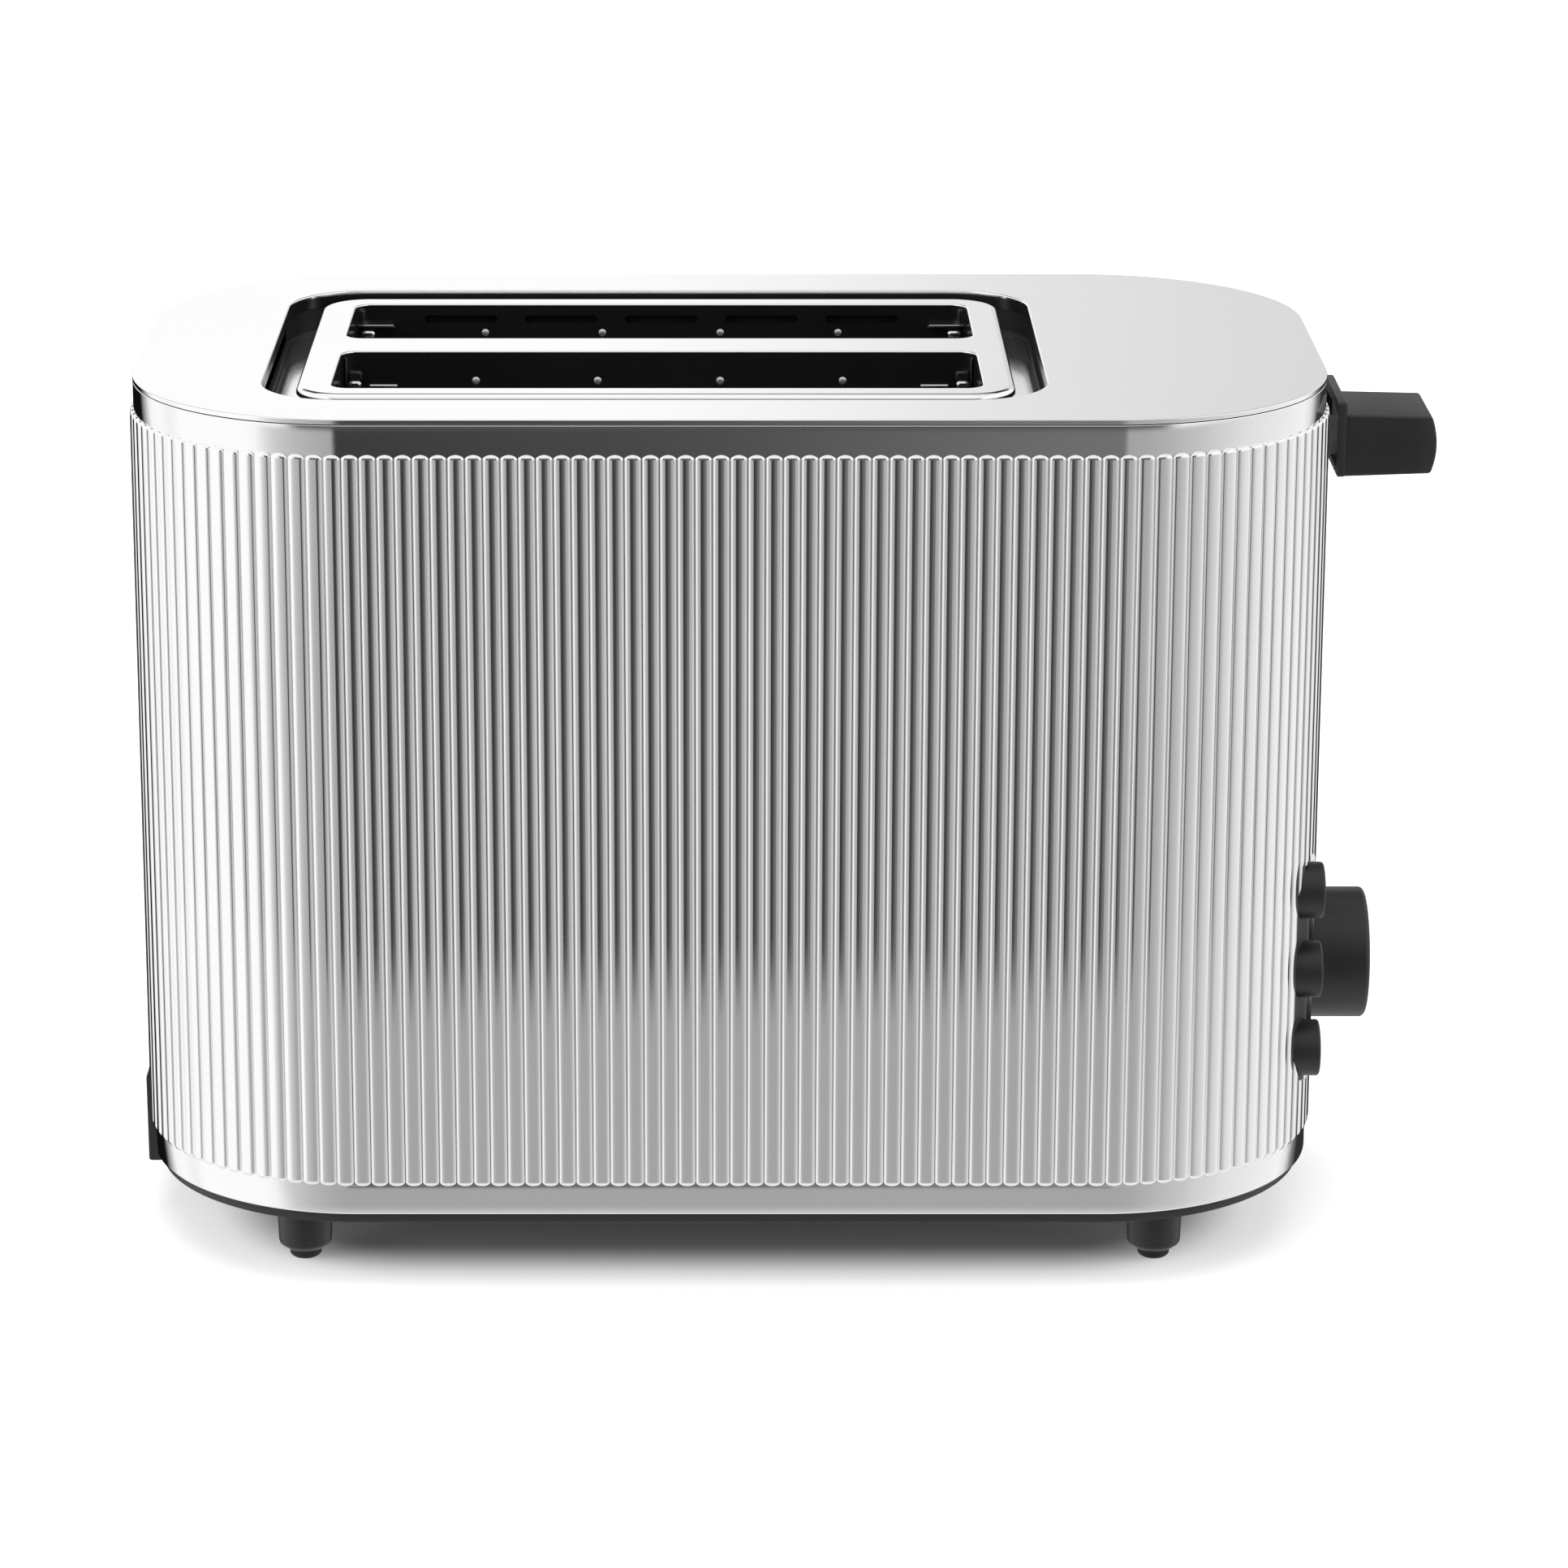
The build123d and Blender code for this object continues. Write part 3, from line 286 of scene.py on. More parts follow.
def world():
    """White for the eye and through glass, the cards for reflections and a plain level for all else."""
    space = bpy.data.worlds.new("studio")
    bpy.context.scene.world = space
    graph = Graph(space)
    graph.nodes.clear()
    path = graph.new("ShaderNodeLightPath").outputs
    cards = graph.new("ShaderNodeBackground", {"Color": reflections(graph)})
    light = graph.new("ShaderNodeBackground", {"Color": (1, 1, 1, 1), "Strength": WORLD_LIGHT})
    seen = graph.new("ShaderNodeBackground", {"Color": (1, 1, 1, 1)})
    inner = {"Fac": path["Is Glossy Ray"], 1: light.outputs[0], 2: cards.outputs[0]}
    lit = graph.new("ShaderNodeMixShader", inner)
    white = graph.math("MAXIMUM", path["Is Camera Ray"], path["Is Transmission Ray"])
    outer = graph.new("ShaderNodeMixShader", {"Fac": white, 1: lit.outputs[0], 2: seen.outputs[0]})
    graph.new("ShaderNodeOutputWorld", {"Surface": outer.outputs[0]})


def softbox(name, place, target, size, watts):
    """A soft rectangular lamp that looks at a point."""
    data = bpy.data.lights.new(name, "AREA")
    data.shape = "RECTANGLE"
    data.size, data.size_y = size
    data.energy = watts
    lamp = bpy.data.objects.new(name, data)
    lamp.location = place
    lamp.visible_glossy = False
    lamp.rotation_euler = (Vector(target) - Vector(place)).to_track_quat("-Z", "Y").to_euler()
    bpy.context.scene.collection.objects.link(lamp)


def studio():
    """Two side softboxes and one above."""
    bpy.context.scene.view_settings.view_transform = "Standard"
    softbox("left_softbox", (-1.1, -0.35, 0.45), (0, 0, 0.1), (0.9, 1.1), 9)
    softbox("right_softbox", (1.15, -0.25, 0.5), (0, 0, 0.1), (0.9, 1.0), 6)
    softbox("top_softbox", (0, 0.25, 1.5), (0, 0, 0.1), (1.6, 1.2), 14)


# Materials


class Finish(Graph):
    """A material that is being made, with noise on the object's own coordinates."""

    def __init__(self, name, colour, metallic, roughness):
        self.material = bpy.data.materials.new(name)
        super().__init__(self.material)
        self.shader = self.nodes["Principled BSDF"].inputs
        self.shader["Base Color"].default_value = (*colour, 1)
        self.shader["Metallic"].default_value = metallic
        self.shader["Roughness"].default_value = roughness
        self.place = self.new("ShaderNodeTexCoord").outputs["Object"]

    def noise(self, scale, detail):
        """Noise in waves per metre."""
        inputs = {"Vector": self.place, "Scale": scale, "Detail": detail}
        return self.new("ShaderNodeTexNoise", inputs).outputs["Fac"]

    def spread(self, value, low, high):
        """A noise value, which is mostly from 0.3 to 0.7, spread between two numbers."""
        inputs = {"Value": value, "From Min": 0.3, "From Max": 0.7, "To Min": low, "To Max": high}
        return self.new("ShaderNodeMapRange", inputs).outputs[0]

    def gloss(self, value, roughness, reach):
        """A roughness that changes with a noise value."""
        self.feed(self.shader["Roughness"], self.spread(value, roughness - reach, roughness + reach))

    def tint(self, value, dark, light):
        """A colour between two tones, by a value."""
        self.feed(self.shader["Base Color"], self.blend(value, (*dark, 1), (*light, 1)))

    def bump(self, value, strength, distance):
        """A fine relief from a value."""
        inputs = {"Strength": strength, "Distance": distance, "Height": value}
        self.feed(self.shader["Normal"], self.new("ShaderNodeBump", inputs).outputs[0])


def steel(name, grey, roughness, grain, relief, scale=3500, speckle=0.03):
    """Blasted or rolled steel: fine grain in its gloss, colour and surface."""
    finish = Finish(name, (grey, grey, grey), 1.0, roughness)
    fine = finish.noise(scale, 3.0)
    broad = finish.noise(14, 2.0)
    mixed = finish.math("ADD", finish.math("MULTIPLY", broad, 0.4), finish.math("MULTIPLY", fine, 0.6))
    dark, light = grey * (1 - speckle), min(grey * (1 + speckle), 1.0)
    finish.gloss(fine, roughness, grain)
    finish.tint(finish.spread(mixed, 0.0, 1.0), (dark,) * 3, (light,) * 3)
    finish.bump(fine, relief, 0.00002)
    return finish.material


def plastic(name, colour, roughness, relief=0.25, scale=2200):
    """Moulded plastic: a faint spark-eroded grain and a slow change of gloss."""
    finish = Finish(name, colour, 0.0, roughness)
    fine = finish.noise(scale, 2.0)
    broad = finish.noise(30, 3.0)
    finish.gloss(broad, roughness, 0.05)
    finish.tint(broad, tuple(c * 0.88 for c in colour), tuple(c * 1.12 for c in colour))
    finish.bump(fine, relief, 0.00003)
    return finish.material


def mica():
    """Silvery mica board with flakes."""
    finish = Finish("mica", (0.55, 0.5, 0.42), 0.1, 0.45)
    flakes = finish.noise(160, 4.0)
    finish.tint(flakes, (0.42, 0.37, 0.3), (0.68, 0.63, 0.55))
    finish.bump(flakes, 0.4, 0.0001)
    return finish.material


def materials():
    """Every finish by name."""
    return {
        "ribbed_steel": steel("ribbed_steel", 0.975, 0.06, 0.015, 0.01, speckle=0.05),
        "satin_steel": steel("satin_steel", 0.98, 0.11, 0.02, 0.02, 4200, speckle=0.012),
        "dark_enamel": plastic("dark_enamel", (0.011, 0.011, 0.012), 0.2, 0.05),
        # Near-black matte for sheets put where there is only shade, behind the vents and the well's wall:
        # painted shade
        "painted_shade_black": plastic("painted_shade_black", (0.002, 0.002, 0.002), 0.9, 0.4, 900),
        "well_steel": steel("well_steel", 0.95, 0.13, 0.04, 0.08, 2500),
        "black_plastic": plastic("black_plastic", (0.014, 0.014, 0.015), 0.44),
        "pad_rubber": plastic("pad_rubber", (0.015, 0.015, 0.015), 0.75, 0.5, 1500),
        "stamped_spot": steel("stamped_spot", 0.85, 0.5, 0.02, 0.05, 900),
        "zinc_sheet": steel("zinc_sheet", 0.5, 0.38, 0.06, 0.3, 900),
        "bright_sheet": steel("bright_sheet", 0.75, 0.22, 0.05, 0.15, 1200),
        "mica": mica(),
        "heater_ribbon": steel("heater_ribbon", 0.42, 0.35, 0.08, 0.2, 1800),
        "polished_bar": steel("polished_bar", 0.7, 0.14, 0.03, 0.05, 2500),
        "spring_steel": steel("spring_steel", 0.45, 0.3, 0.05, 0.1, 2500),
        "iron_core": steel("iron_core", 0.25, 0.45, 0.08, 0.3, 1500),
        "coil_copper": plastic("coil_copper", (0.35, 0.12, 0.05), 0.3, 0.3, 1500),
        "board_green": plastic("board_green", (0.02, 0.12, 0.05), 0.35, 0.2, 900),
        "switch_black": plastic("switch_black", (0.02, 0.02, 0.02), 0.4),
        "terminal_white": plastic("terminal_white", (0.7, 0.7, 0.68), 0.4),
    }


def dress(finishes):
    """The solids take their finishes by the record's material slots."""
    slot_of = {part["node"]: part["material_slot"] for part in frame["record"]["subparts"]}
    for name, node in frame["nodes"].items():
        finish = finishes[slot_of[name]]
        if not node.data.materials:
            node.data.materials.append(finish)
        for index in range(len(node.data.materials)):
            node.data.materials[index] = finish


# Mesh helpers


def mesh_of(name, vertices, faces):
    """A mesh in metres, from vertices in millimetres."""
    data = bpy.data.meshes.new(name)
    data.from_pydata([(x * MM, y * MM, z * MM) for x, y, z in vertices], [], faces)
    return data


def make_piece(name, vertices, faces, material, slot, body="housing", replaces=(), sharp=32.0):
    """A mesh object that rides on a body, smooth but for its sharp edges."""
    data = mesh_of(name, vertices, faces)
    tidy = bmesh.new()
    tidy.from_mesh(data)
    bmesh.ops.remove_doubles(tidy, verts=tidy.verts, dist=1e-7)
    bmesh.ops.recalc_face_normals(tidy, faces=tidy.faces)
    tidy.to_mesh(data)
    tidy.free()
    data.validate()
    data.shade_smooth()
    data.set_sharp_from_angle(angle=radians(sharp))
    data.materials.clear()
    data.materials.append(material)
    piece = bpy.data.objects.new(name, data)
    bpy.context.scene.collection.objects.link(piece)
    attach(piece, body)
    if replaces:
        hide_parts(*replaces)
    return piece


def cut(piece, cutters, sharp=32.0):
    """Takes closed cutters away from a piece for good, and marks its sharp edges anew."""
    for cutter in cutters:
        change = piece.modifiers.new("cut", "BOOLEAN")
        change.operation = "DIFFERENCE"
        change.solver = "EXACT"
        change.object = cutter
        bpy.context.view_layer.objects.active = piece
        with bpy.context.temp_override(object=piece, active_object=piece, selected_objects=[piece]):
            bpy.ops.object.modifier_apply(modifier=change.name)
        bpy.data.objects.remove(cutter)
    piece.data.set_sharp_from_angle(angle=radians(sharp))


def cutter_mesh(corners, faces):
    """A closed cutter."""
    cutter = bpy.data.objects.new("cutter", mesh_of("cutter", corners, faces))
    bpy.context.scene.collection.objects.link(cutter)
    return cutter


def cutter_block(low, high):
    """A block between two corners."""
    (x0, y0, z0), (x1, y1, z1) = low, high
    corners = [(x, y, z) for z in (z0, z1) for x, y in ((x0, y0), (x1, y0), (x1, y1), (x0, y1))]
    faces = [(3, 2, 1, 0), (4, 5, 6, 7), (0, 1, 5, 4), (1, 2, 6, 5), (2, 3, 7, 6), (3, 0, 4, 7)]
    return cutter_mesh(corners, faces)


def cutter_of(outline, axis, low, high):
    """An outline pushed along X or Y between two places."""
    count = len(outline)
    corners = []
    for place in (low, high):
        for a, b in outline:
            corners.append((place, a, b) if axis == "x" else (a, place, b))
    faces = [tuple(range(count)), tuple(reversed(range(count, 2 * count)))]
    faces += [(i, count + i, count + (i + 1) % count, (i + 1) % count) for i in range(count)]
    # An outline in Y and Z needs its faces turned round to face outwards
    if axis == "x":
        faces = [tuple(reversed(face)) for face in faces]
    return cutter_mesh(corners, faces)


def round_ended(first, second, radius, start, steps):
    """A long outline of two half circles round two centres, from a starting angle."""
    points = []
    for (a, b), begin in ((first, start), (second, start + pi)):
        for step in range(steps + 1):
            turn = begin + step / steps * pi
            points.append((a + radius * cos(turn), b + radius * sin(turn)))
    return points


def cutter_slot(x, length, height, z, ys):
    """A long hole with round ends through a wall that faces along Y."""
    half = (length - height) / 2
    return cutter_of(round_ended((x + half, z), (x - half, z), height / 2, -pi / 2, 8), "y", *ys)


def cutter_arch(x, width, low, high, ys):
    """An upright cutter with an arched top, pushed along Y."""
    middle, half = MIDDLE_X + x, width / 2
    outline = [(middle - half, low), (middle + half, low)]
    outline += [(middle + half * cos(k * pi / 8), high - half + half * sin(k * pi / 8)) for k in range(9)]
    return cutter_of(outline, "y", *ys)


def ring(length, width, radius, offset, z, middle=(0.0, 0.0), steps=14):
    """A rounded rectangle's points at a height, moved out by offset, in the same order for every size."""
    corner = max(radius + offset, 0.01)
    half_x, half_y = length / 2 + offset - corner, width / 2 + offset - corner
    points = []
    for quadrant, (side_x, side_y) in enumerate([(1, 1), (-1, 1), (-1, -1), (1, -1)]):
        for step in range(steps + 1):
            turn = (quadrant + step / steps) * pi / 2
            x = middle[0] + side_x * half_x + corner * cos(turn)
            y = middle[1] + side_y * half_y + corner * sin(turn)
            points.append((MIDDLE_X + x, y, z))
    return points


def turned(stations, segments, axis, place):
    """The circles of a turned shape, from stations of distance along the axis and radius."""
    circles = []
    for along, radius in stations:
        circle = []
        for k in range(segments):
            turn = 2 * pi * k / segments
            a, b = radius * cos(turn), radius * sin(turn)
            x, y, z = (along, a, b) if axis == "x" else (a, b, along)
            circle.append((place[0] + x, place[1] + y, place[2] + z))
        circles.append(circle)
    return circles


def loft(rings, closed=False):
    """Faces between rings of one count, as vertices and faces."""
    points, faces = [], []
    count = len(rings[0])
    for line in rings:
        points += line
    pairs = list(zip(range(len(rings) - 1), range(1, len(rings))))
    if closed:
        pairs.append((len(rings) - 1, 0))
    for low, high in pairs:
        for k in range(count):
            after = (k + 1) % count
            faces.append((low * count + k, low * count + after, high * count + after, high * count + k))
    return points, faces


def capped(rings):
    """A loft with a flat face at each end."""
    points, faces = loft(rings)
    count = len(rings[0])
    last = len(points) - count
    return points, faces + [tuple(reversed(range(count))), tuple(range(last, last + count))]


def lathe(stations, segments, axis="x", place=(0, 0, 0)):
    """A turned shape, closed at both ends."""
    return capped(turned(stations, segments, axis, place))


def tube(ring_at, stations, *side):
    """A closed wall along an outline, from stations of offset and height round its section."""
    return loft([ring_at(offset, z, *side) for offset, z in stations], closed=True)


def fill(loops):
    """Triangles of a flat region: the first loop is its outline and the others are holes."""
    points = [p for loop in loops for p in loop]
    flat = [[Vector((x, y, 0)) for x, y, z in loop] for loop in loops]
    return points, [tuple(t) for t in tessellate_polygon(flat)]


def joined(*parts):
    """Several vertex and face lists as one."""
    points, faces = [], []
    for part_points, part_faces in parts:
        start = len(points)
        points += part_points
        faces += [tuple(start + k for k in face) for face in part_faces]
    return points, faces


def sheet(*edges):
    """A flat sheet from the rings of its edges, top to bottom: the outer edge first, then its holes'."""
    parts = [loft(rings) for rings in edges]
    parts += [fill([rings[0] for rings in edges]), fill([rings[-1] for rings in edges])]
    return joined(*parts)


def rolled(radius, steps, flat=0.12):
    """Offsets and drops of an edge rolled over by a quarter turn, from the flat to the wall."""
    stops = [(-radius - flat, 0.0)]
    for step in range(steps + 1):
        turn = step / steps * pi / 2
        stops.append((-radius + radius * sin(turn), radius * (1 - cos(turn))))
    return stops


# Ribbed sleeve


FLAT_X = BODY_LENGTH / 2 - CORNER
FLAT_Y = BODY_WIDTH / 2 - CORNER
BEND = CORNER * pi / 2
QUARTER = FLAT_X + BEND + FLAT_Y
RIBS = int(QUARTER / RIB_PITCH)
# Offset and height of the band's rows at its lower and upper edges, and its rows' distance from the ribs
LOW_EDGE = [(-0.35, SHELL_Z), (-0.15, SHELL_Z + 0.05), (-0.05, SHELL_Z + 0.15), (0.0, SHELL_Z + 0.35)]
HIGH_EDGE = [(0.0, SHELL_TOP - 0.2), (-0.03, SHELL_TOP - 0.09), (-0.09, SHELL_TOP - 0.03), (-0.2, SHELL_TOP)]
BAND_ROW = 0.12
# The angles of a rib's points across its crown and at its rounded ends, and how full its oval section is
ARC_ACROSS = [i * pi / 14 for i in range(-7, 8)]
ARC_END = [i * pi / 12 for i in range(1, 7)]
FULLNESS = 2.8


def spot(along, quadrant):
    """Place and outward direction on the sleeve's outline, from a long side's middle towards an end."""
    turn = min(max((along - FLAT_X) / CORNER, 0.0), pi / 2)
    x = min(along, FLAT_X) + CORNER * sin(turn)
    y = FLAT_Y + CORNER * cos(turn) - max(along - FLAT_X - BEND, 0.0)
    side_x, side_y = quadrant
    return x * side_x, y * side_y, sin(turn) * side_x, cos(turn) * side_y


def full(share):
    """A sine or cosine as on a full oval, flatter on the crown and steeper at the sides than a round one."""
    return abs(share) ** (2 / FULLNESS) * (1 if share >= 0 else -1)


def rib_levels(along, quadrant):
    """The rows of one rib from bottom to top: height and share of its full section."""
    x, y = spot(along, quadrant)[:2]
    low, high = RIB_LOW, RIB_HIGH
    # Ribs stop short of the lever's slot and the tray's door. The panel's outline is cut out of them later.
    if x > 0 and abs(y) < RIB_PITCH:
        high = LEVER_SLOT_LOW - RIB_PITCH
    if x < 0 and abs(y) < TRAY_HALF + DOOR_MARGIN:
        low = TRAY_TOP + DOOR_LIFT
    levels = [(low + RIB_TIP * (1 - sin(a)), cos(a)) for a in reversed(ARC_END)]
    levels += [(low + RIB_TIP, 1.0), (high - RIB_TIP, 1.0)]
    levels += [(high - RIB_TIP * (1 - sin(a)), cos(a)) for a in ARC_END]
    return levels


class Skin:
    """The points and faces of one quarter of the sleeve, while it grows row by row."""

    def __init__(self, quadrant):
        self.quadrant = quadrant
        self.points, self.faces = [], []

    def point(self, along, out, z):
        """A new point at a distance from the band, as its number."""
        x, y, out_x, out_y = spot(along, self.quadrant)
        out += BAND_OUT
        self.points.append((MIDDLE_X + x + out_x * out, y + out_y * out, z))
        return len(self.points) - 1

    def row(self, places, out, z):
        """New points at one height, as their numbers."""
        return [self.point(along, out, z) for along in places]

    def between(self, lower, upper):
        """Faces between two rows, of which one may be a single point."""
        for k in range(max(len(lower), len(upper)) - 1):
            if len(lower) == 1:
                self.faces.append((lower[0], upper[k + 1], upper[k]))
            elif len(upper) == 1:
                self.faces.append((lower[k], lower[k + 1], upper[0]))
            else:
                self.faces.append((lower[k], lower[k + 1], upper[k + 1], upper[k]))

    def wall(self, rows):
        """Faces between rows one after the other."""
        for lower, upper in zip(rows, rows[1:]):
            self.between(lower, upper)

    def rib(self, places, levels):
        """A rib between two groove lines, row by row. Gives the band's points at its two ends."""
        start, centre, end = places
        left = [self.point(start, 0, z) for z, share in levels]
        right = [self.point(end, 0, z) for z, share in levels]
        grid = []
        for z, share in levels:
            if share < 1e-6:
                grid.append([self.point(centre, 0, z)])
                continue
            line = []
            for a in ARC_ACROSS:
                across = centre + RIB_HALF * share * full(sin(a))
                line.append(self.point(across, RIB_HEIGHT * share * full(cos(a)), z))
            grid.append(line)
        for row in range(len(levels) - 1):
            lower, upper = grid[row], grid[row + 1]
            self.between(lower, upper)
            self.between([left[row], lower[0]], [left[row + 1], upper[0]])
            self.between([lower[-1], right[row]], [upper[-1], right[row + 1]])
        return [left[0], grid[0][0], right[0]], [left[-1], grid[-1][0], right[-1]]

    def inside(self, places):
        """The rows of the inner wall, from the top down."""
        return [self.row(places, -WALL - BAND_OUT, z) for z in (SHELL_TOP, SHELL_Z)]


def sleeve_quarter(quadrant):
    """A quarter of the sleeve with its ribs, from a long side's middle to an end's middle."""
    skin = Skin(quadrant)
    for index in range(RIBS):
        centre = (index + 0.5) * RIB_PITCH
        places = (centre - RIB_PITCH / 2, centre, centre + RIB_PITCH / 2)
        levels = rib_levels(centre, quadrant)
        first, last = skin.rib(places, levels)
        below = [skin.row(places, out, z) for out, z in LOW_EDGE]
        above = [skin.row(places, out, z) for out, z in HIGH_EDGE]
        skin.wall(below + [skin.row(places, 0, levels[0][0] - BAND_ROW), first])
        head = [last, skin.row(places, 0, levels[-1][0] + BAND_ROW)]
        skin.wall(head + above + skin.inside(places) + below[:1])
    # The plain strip left over in the middle of the end, with the same rows as its neighbour
    places = (RIBS * RIB_PITCH, QUARTER)
    levels = rib_levels((RIBS - 0.5) * RIB_PITCH, quadrant)
    heights = [levels[0][0] - BAND_ROW] + [z for z, share in levels] + [levels[-1][0] + BAND_ROW]
    stations = LOW_EDGE + [(0.0, z) for z in heights] + HIGH_EDGE
    strip = [skin.row(places, out, z) for out, z in stations]
    skin.wall(strip + skin.inside(places) + strip[:1])
    return skin.points, skin.faces


def ribbed_sleeve(finish):
    """The pressed sleeve: each rib is a crowned bar with rounded ends, grown out of the band around it."""
    quarters = [sleeve_quarter(quadrant) for quadrant in ((1, -1), (1, 1), (-1, 1), (-1, -1))]
    sleeve = make_piece(
        "ribbed_sleeve", *joined(*quarters), finish, slot="ribbed_steel", replaces=("body_shell",), sharp=40
    )
    near, far = KNOB_END - WALL - 1, KNOB_END + RIB_HEIGHT + 1
    slot_half, stem_half, door_half = 2.0, 3.5, TRAY_HALF + 0.3
    door = (TRAY_END - 4, -door_half, SHELL_Z - 1), (TRAY_END + WALL + 1, door_half, TRAY_TOP + 2.0)
    pill_half = (PANEL_HEIGHT - PANEL_WIDTH) / 2
    pill_ends = (PANEL_Y, PANEL_Z + pill_half), (PANEL_Y, PANEL_Z - pill_half)
    pill = round_ended(*pill_ends, PANEL_WIDTH / 2 - 0.6, 0, 16)
    cut(sleeve, [
        cutter_of(pill, "x", MIDDLE_X + BODY_LENGTH / 4, far + 1),
        cutter_block((near, -slot_half, LEVER_SLOT_LOW), (far, slot_half, LEVER_SLOT_HIGH)),
        cutter_block((near, -stem_half, KNOB_Z - stem_half), (far, stem_half, KNOB_Z + stem_half)),
        cutter_block(*door),
    ], 40)


# Top plate, well and slot frame


PLATE_TOP = 204.58
PLATE_Z = 203.5
SLOTS_X = -16.5
SLOT_LENGTH, SLOT_WIDTH, SLOT_CORNER, SLOT_Y = 147.8, 38.2, 4.0, 26.1
WELL_X = SLOTS_X - 0.6
WELL_LENGTH, WELL_WIDTH, WELL_CORNER = 178.2, 118.0, 18.5
FRAME_X = SLOTS_X - 0.3
FRAME_LENGTH, FRAME_WIDTH, FRAME_CORNER = 163.3, 104.4, 11.05
FRAME_TOP = 204.1
WELL_FLOOR = 195.0
CHUTE_Z = FRAME_TOP - 14.0


def body_ring(offset, z):
    """The body's outline."""
    return ring(BODY_LENGTH, BODY_WIDTH, CORNER, offset, z, steps=28)


def well_ring(offset, z):
    """The well's outline."""
    return ring(WELL_LENGTH, WELL_WIDTH, WELL_CORNER, offset, z, (WELL_X, 0), 28)


def frame_ring(offset, z):
    """The slot frame's outline."""
    return ring(FRAME_LENGTH, FRAME_WIDTH, FRAME_CORNER, offset, z, (FRAME_X, 0))


def slot_ring(offset, z, side):
    """A bread slot's outline, of the front slot for -1 and the rear slot for 1."""
    return ring(SLOT_LENGTH, SLOT_WIDTH, SLOT_CORNER, offset, z, (SLOTS_X, side * SLOT_Y), 8)


def top_plate(finish, dark):
    """The satin plate: its rim is softly rounded and its edge rolls over into the well, on a dark collar."""
    out = BAND_OUT + 0.05
    rim = [(out + o, PLATE_TOP - d) for o, d in rolled(0.2, 5)]
    rim += [(out, PLATE_TOP - 0.23), (out, PLATE_Z + 0.12), (out, PLATE_Z + 0.08)]
    rim += [(out - 0.08, PLATE_Z), (-1.5, PLATE_Z)]
    lip = [(-o, PLATE_TOP - d) for o, d in rolled(0.35, 6)]
    lip += [(0.0, PLATE_Z + 0.35), (0.1, PLATE_Z + 0.25), (0.8, PLATE_Z + 0.25), (0.9, PLATE_Z)]
    plate = sheet([body_ring(o, z) for o, z in rim], [well_ring(o, z) for o, z in lip])
    make_piece(
        "satin_top_plate", *plate, finish, slot="satin_steel", replaces=("top_plate",), sharp=30
    )
    collar = [(0.15, PLATE_Z + 0.2), (0.15, PLATE_Z - 2.3), (0.25, PLATE_Z - 2.4)]
    collar += [(0.9, PLATE_Z - 2.4), (1.0, PLATE_Z - 2.3), (1.0, PLATE_Z + 0.2)]
    make_piece("well_collar", *tube(well_ring, collar), dark, slot="dark_enamel")


def well(finish, dark, painted_shade_black):
    """The well round the slot frame: a bright floor, and a dark wall that bends into it."""
    bend, corner = 1.4, 0.35
    edge = 1.05 - bend
    thick = 0.8
    rings = [ring(150.0, 94.0, 3.0, 0, z, (SLOTS_X, 0), 28) for z in (WELL_FLOOR - thick, WELL_FLOOR)]
    rings += [well_ring(edge, WELL_FLOOR), well_ring(edge + 0.3, WELL_FLOOR - 0.3)]
    rings += [well_ring(edge, WELL_FLOOR - thick)]
    make_piece(
        "well_floor", *loft(rings, closed=True), finish,
        slot="polished_bar", replaces=("well_liner",), sharp=30,
    )
    foot = edge + corner
    wall = [(foot, WELL_FLOOR - 0.3)]
    for step in range(1, 9):
        turn = step / 8 * pi / 2
        wall.append((foot + (bend - corner) * sin(turn), WELL_FLOOR - 0.3 + bend * (1 - cos(turn))))
    wall += [(1.05, PLATE_Z - 0.1), (2.05, PLATE_Z - 0.1)]
    wall += [(2.05, WELL_FLOOR + bend), (foot, WELL_FLOOR - 1.1)]
    side = make_piece("well_wall", *tube(well_ring, wall), dark, slot="dark_enamel")
    # Small notches in the outer face of the wall's rear corners, which don't go through it
    cut(side, [cutter_arch(x, 2.9, 195.8, 199.9, (56.0, 61.5)) for x in (-101.2, 68.4)])
    # A near-black sheet outside the wall, where there is only shade: painted shade
    shade_sheet = [(2.6, PLATE_Z - 0.1), (2.6, WELL_FLOOR - 1.5), (3.0, WELL_FLOOR - 1.5), (3.0, PLATE_Z - 0.1)]
    make_piece("well_shade_sheet", *tube(well_ring, shade_sheet), painted_shade_black, slot="dark_enamel")


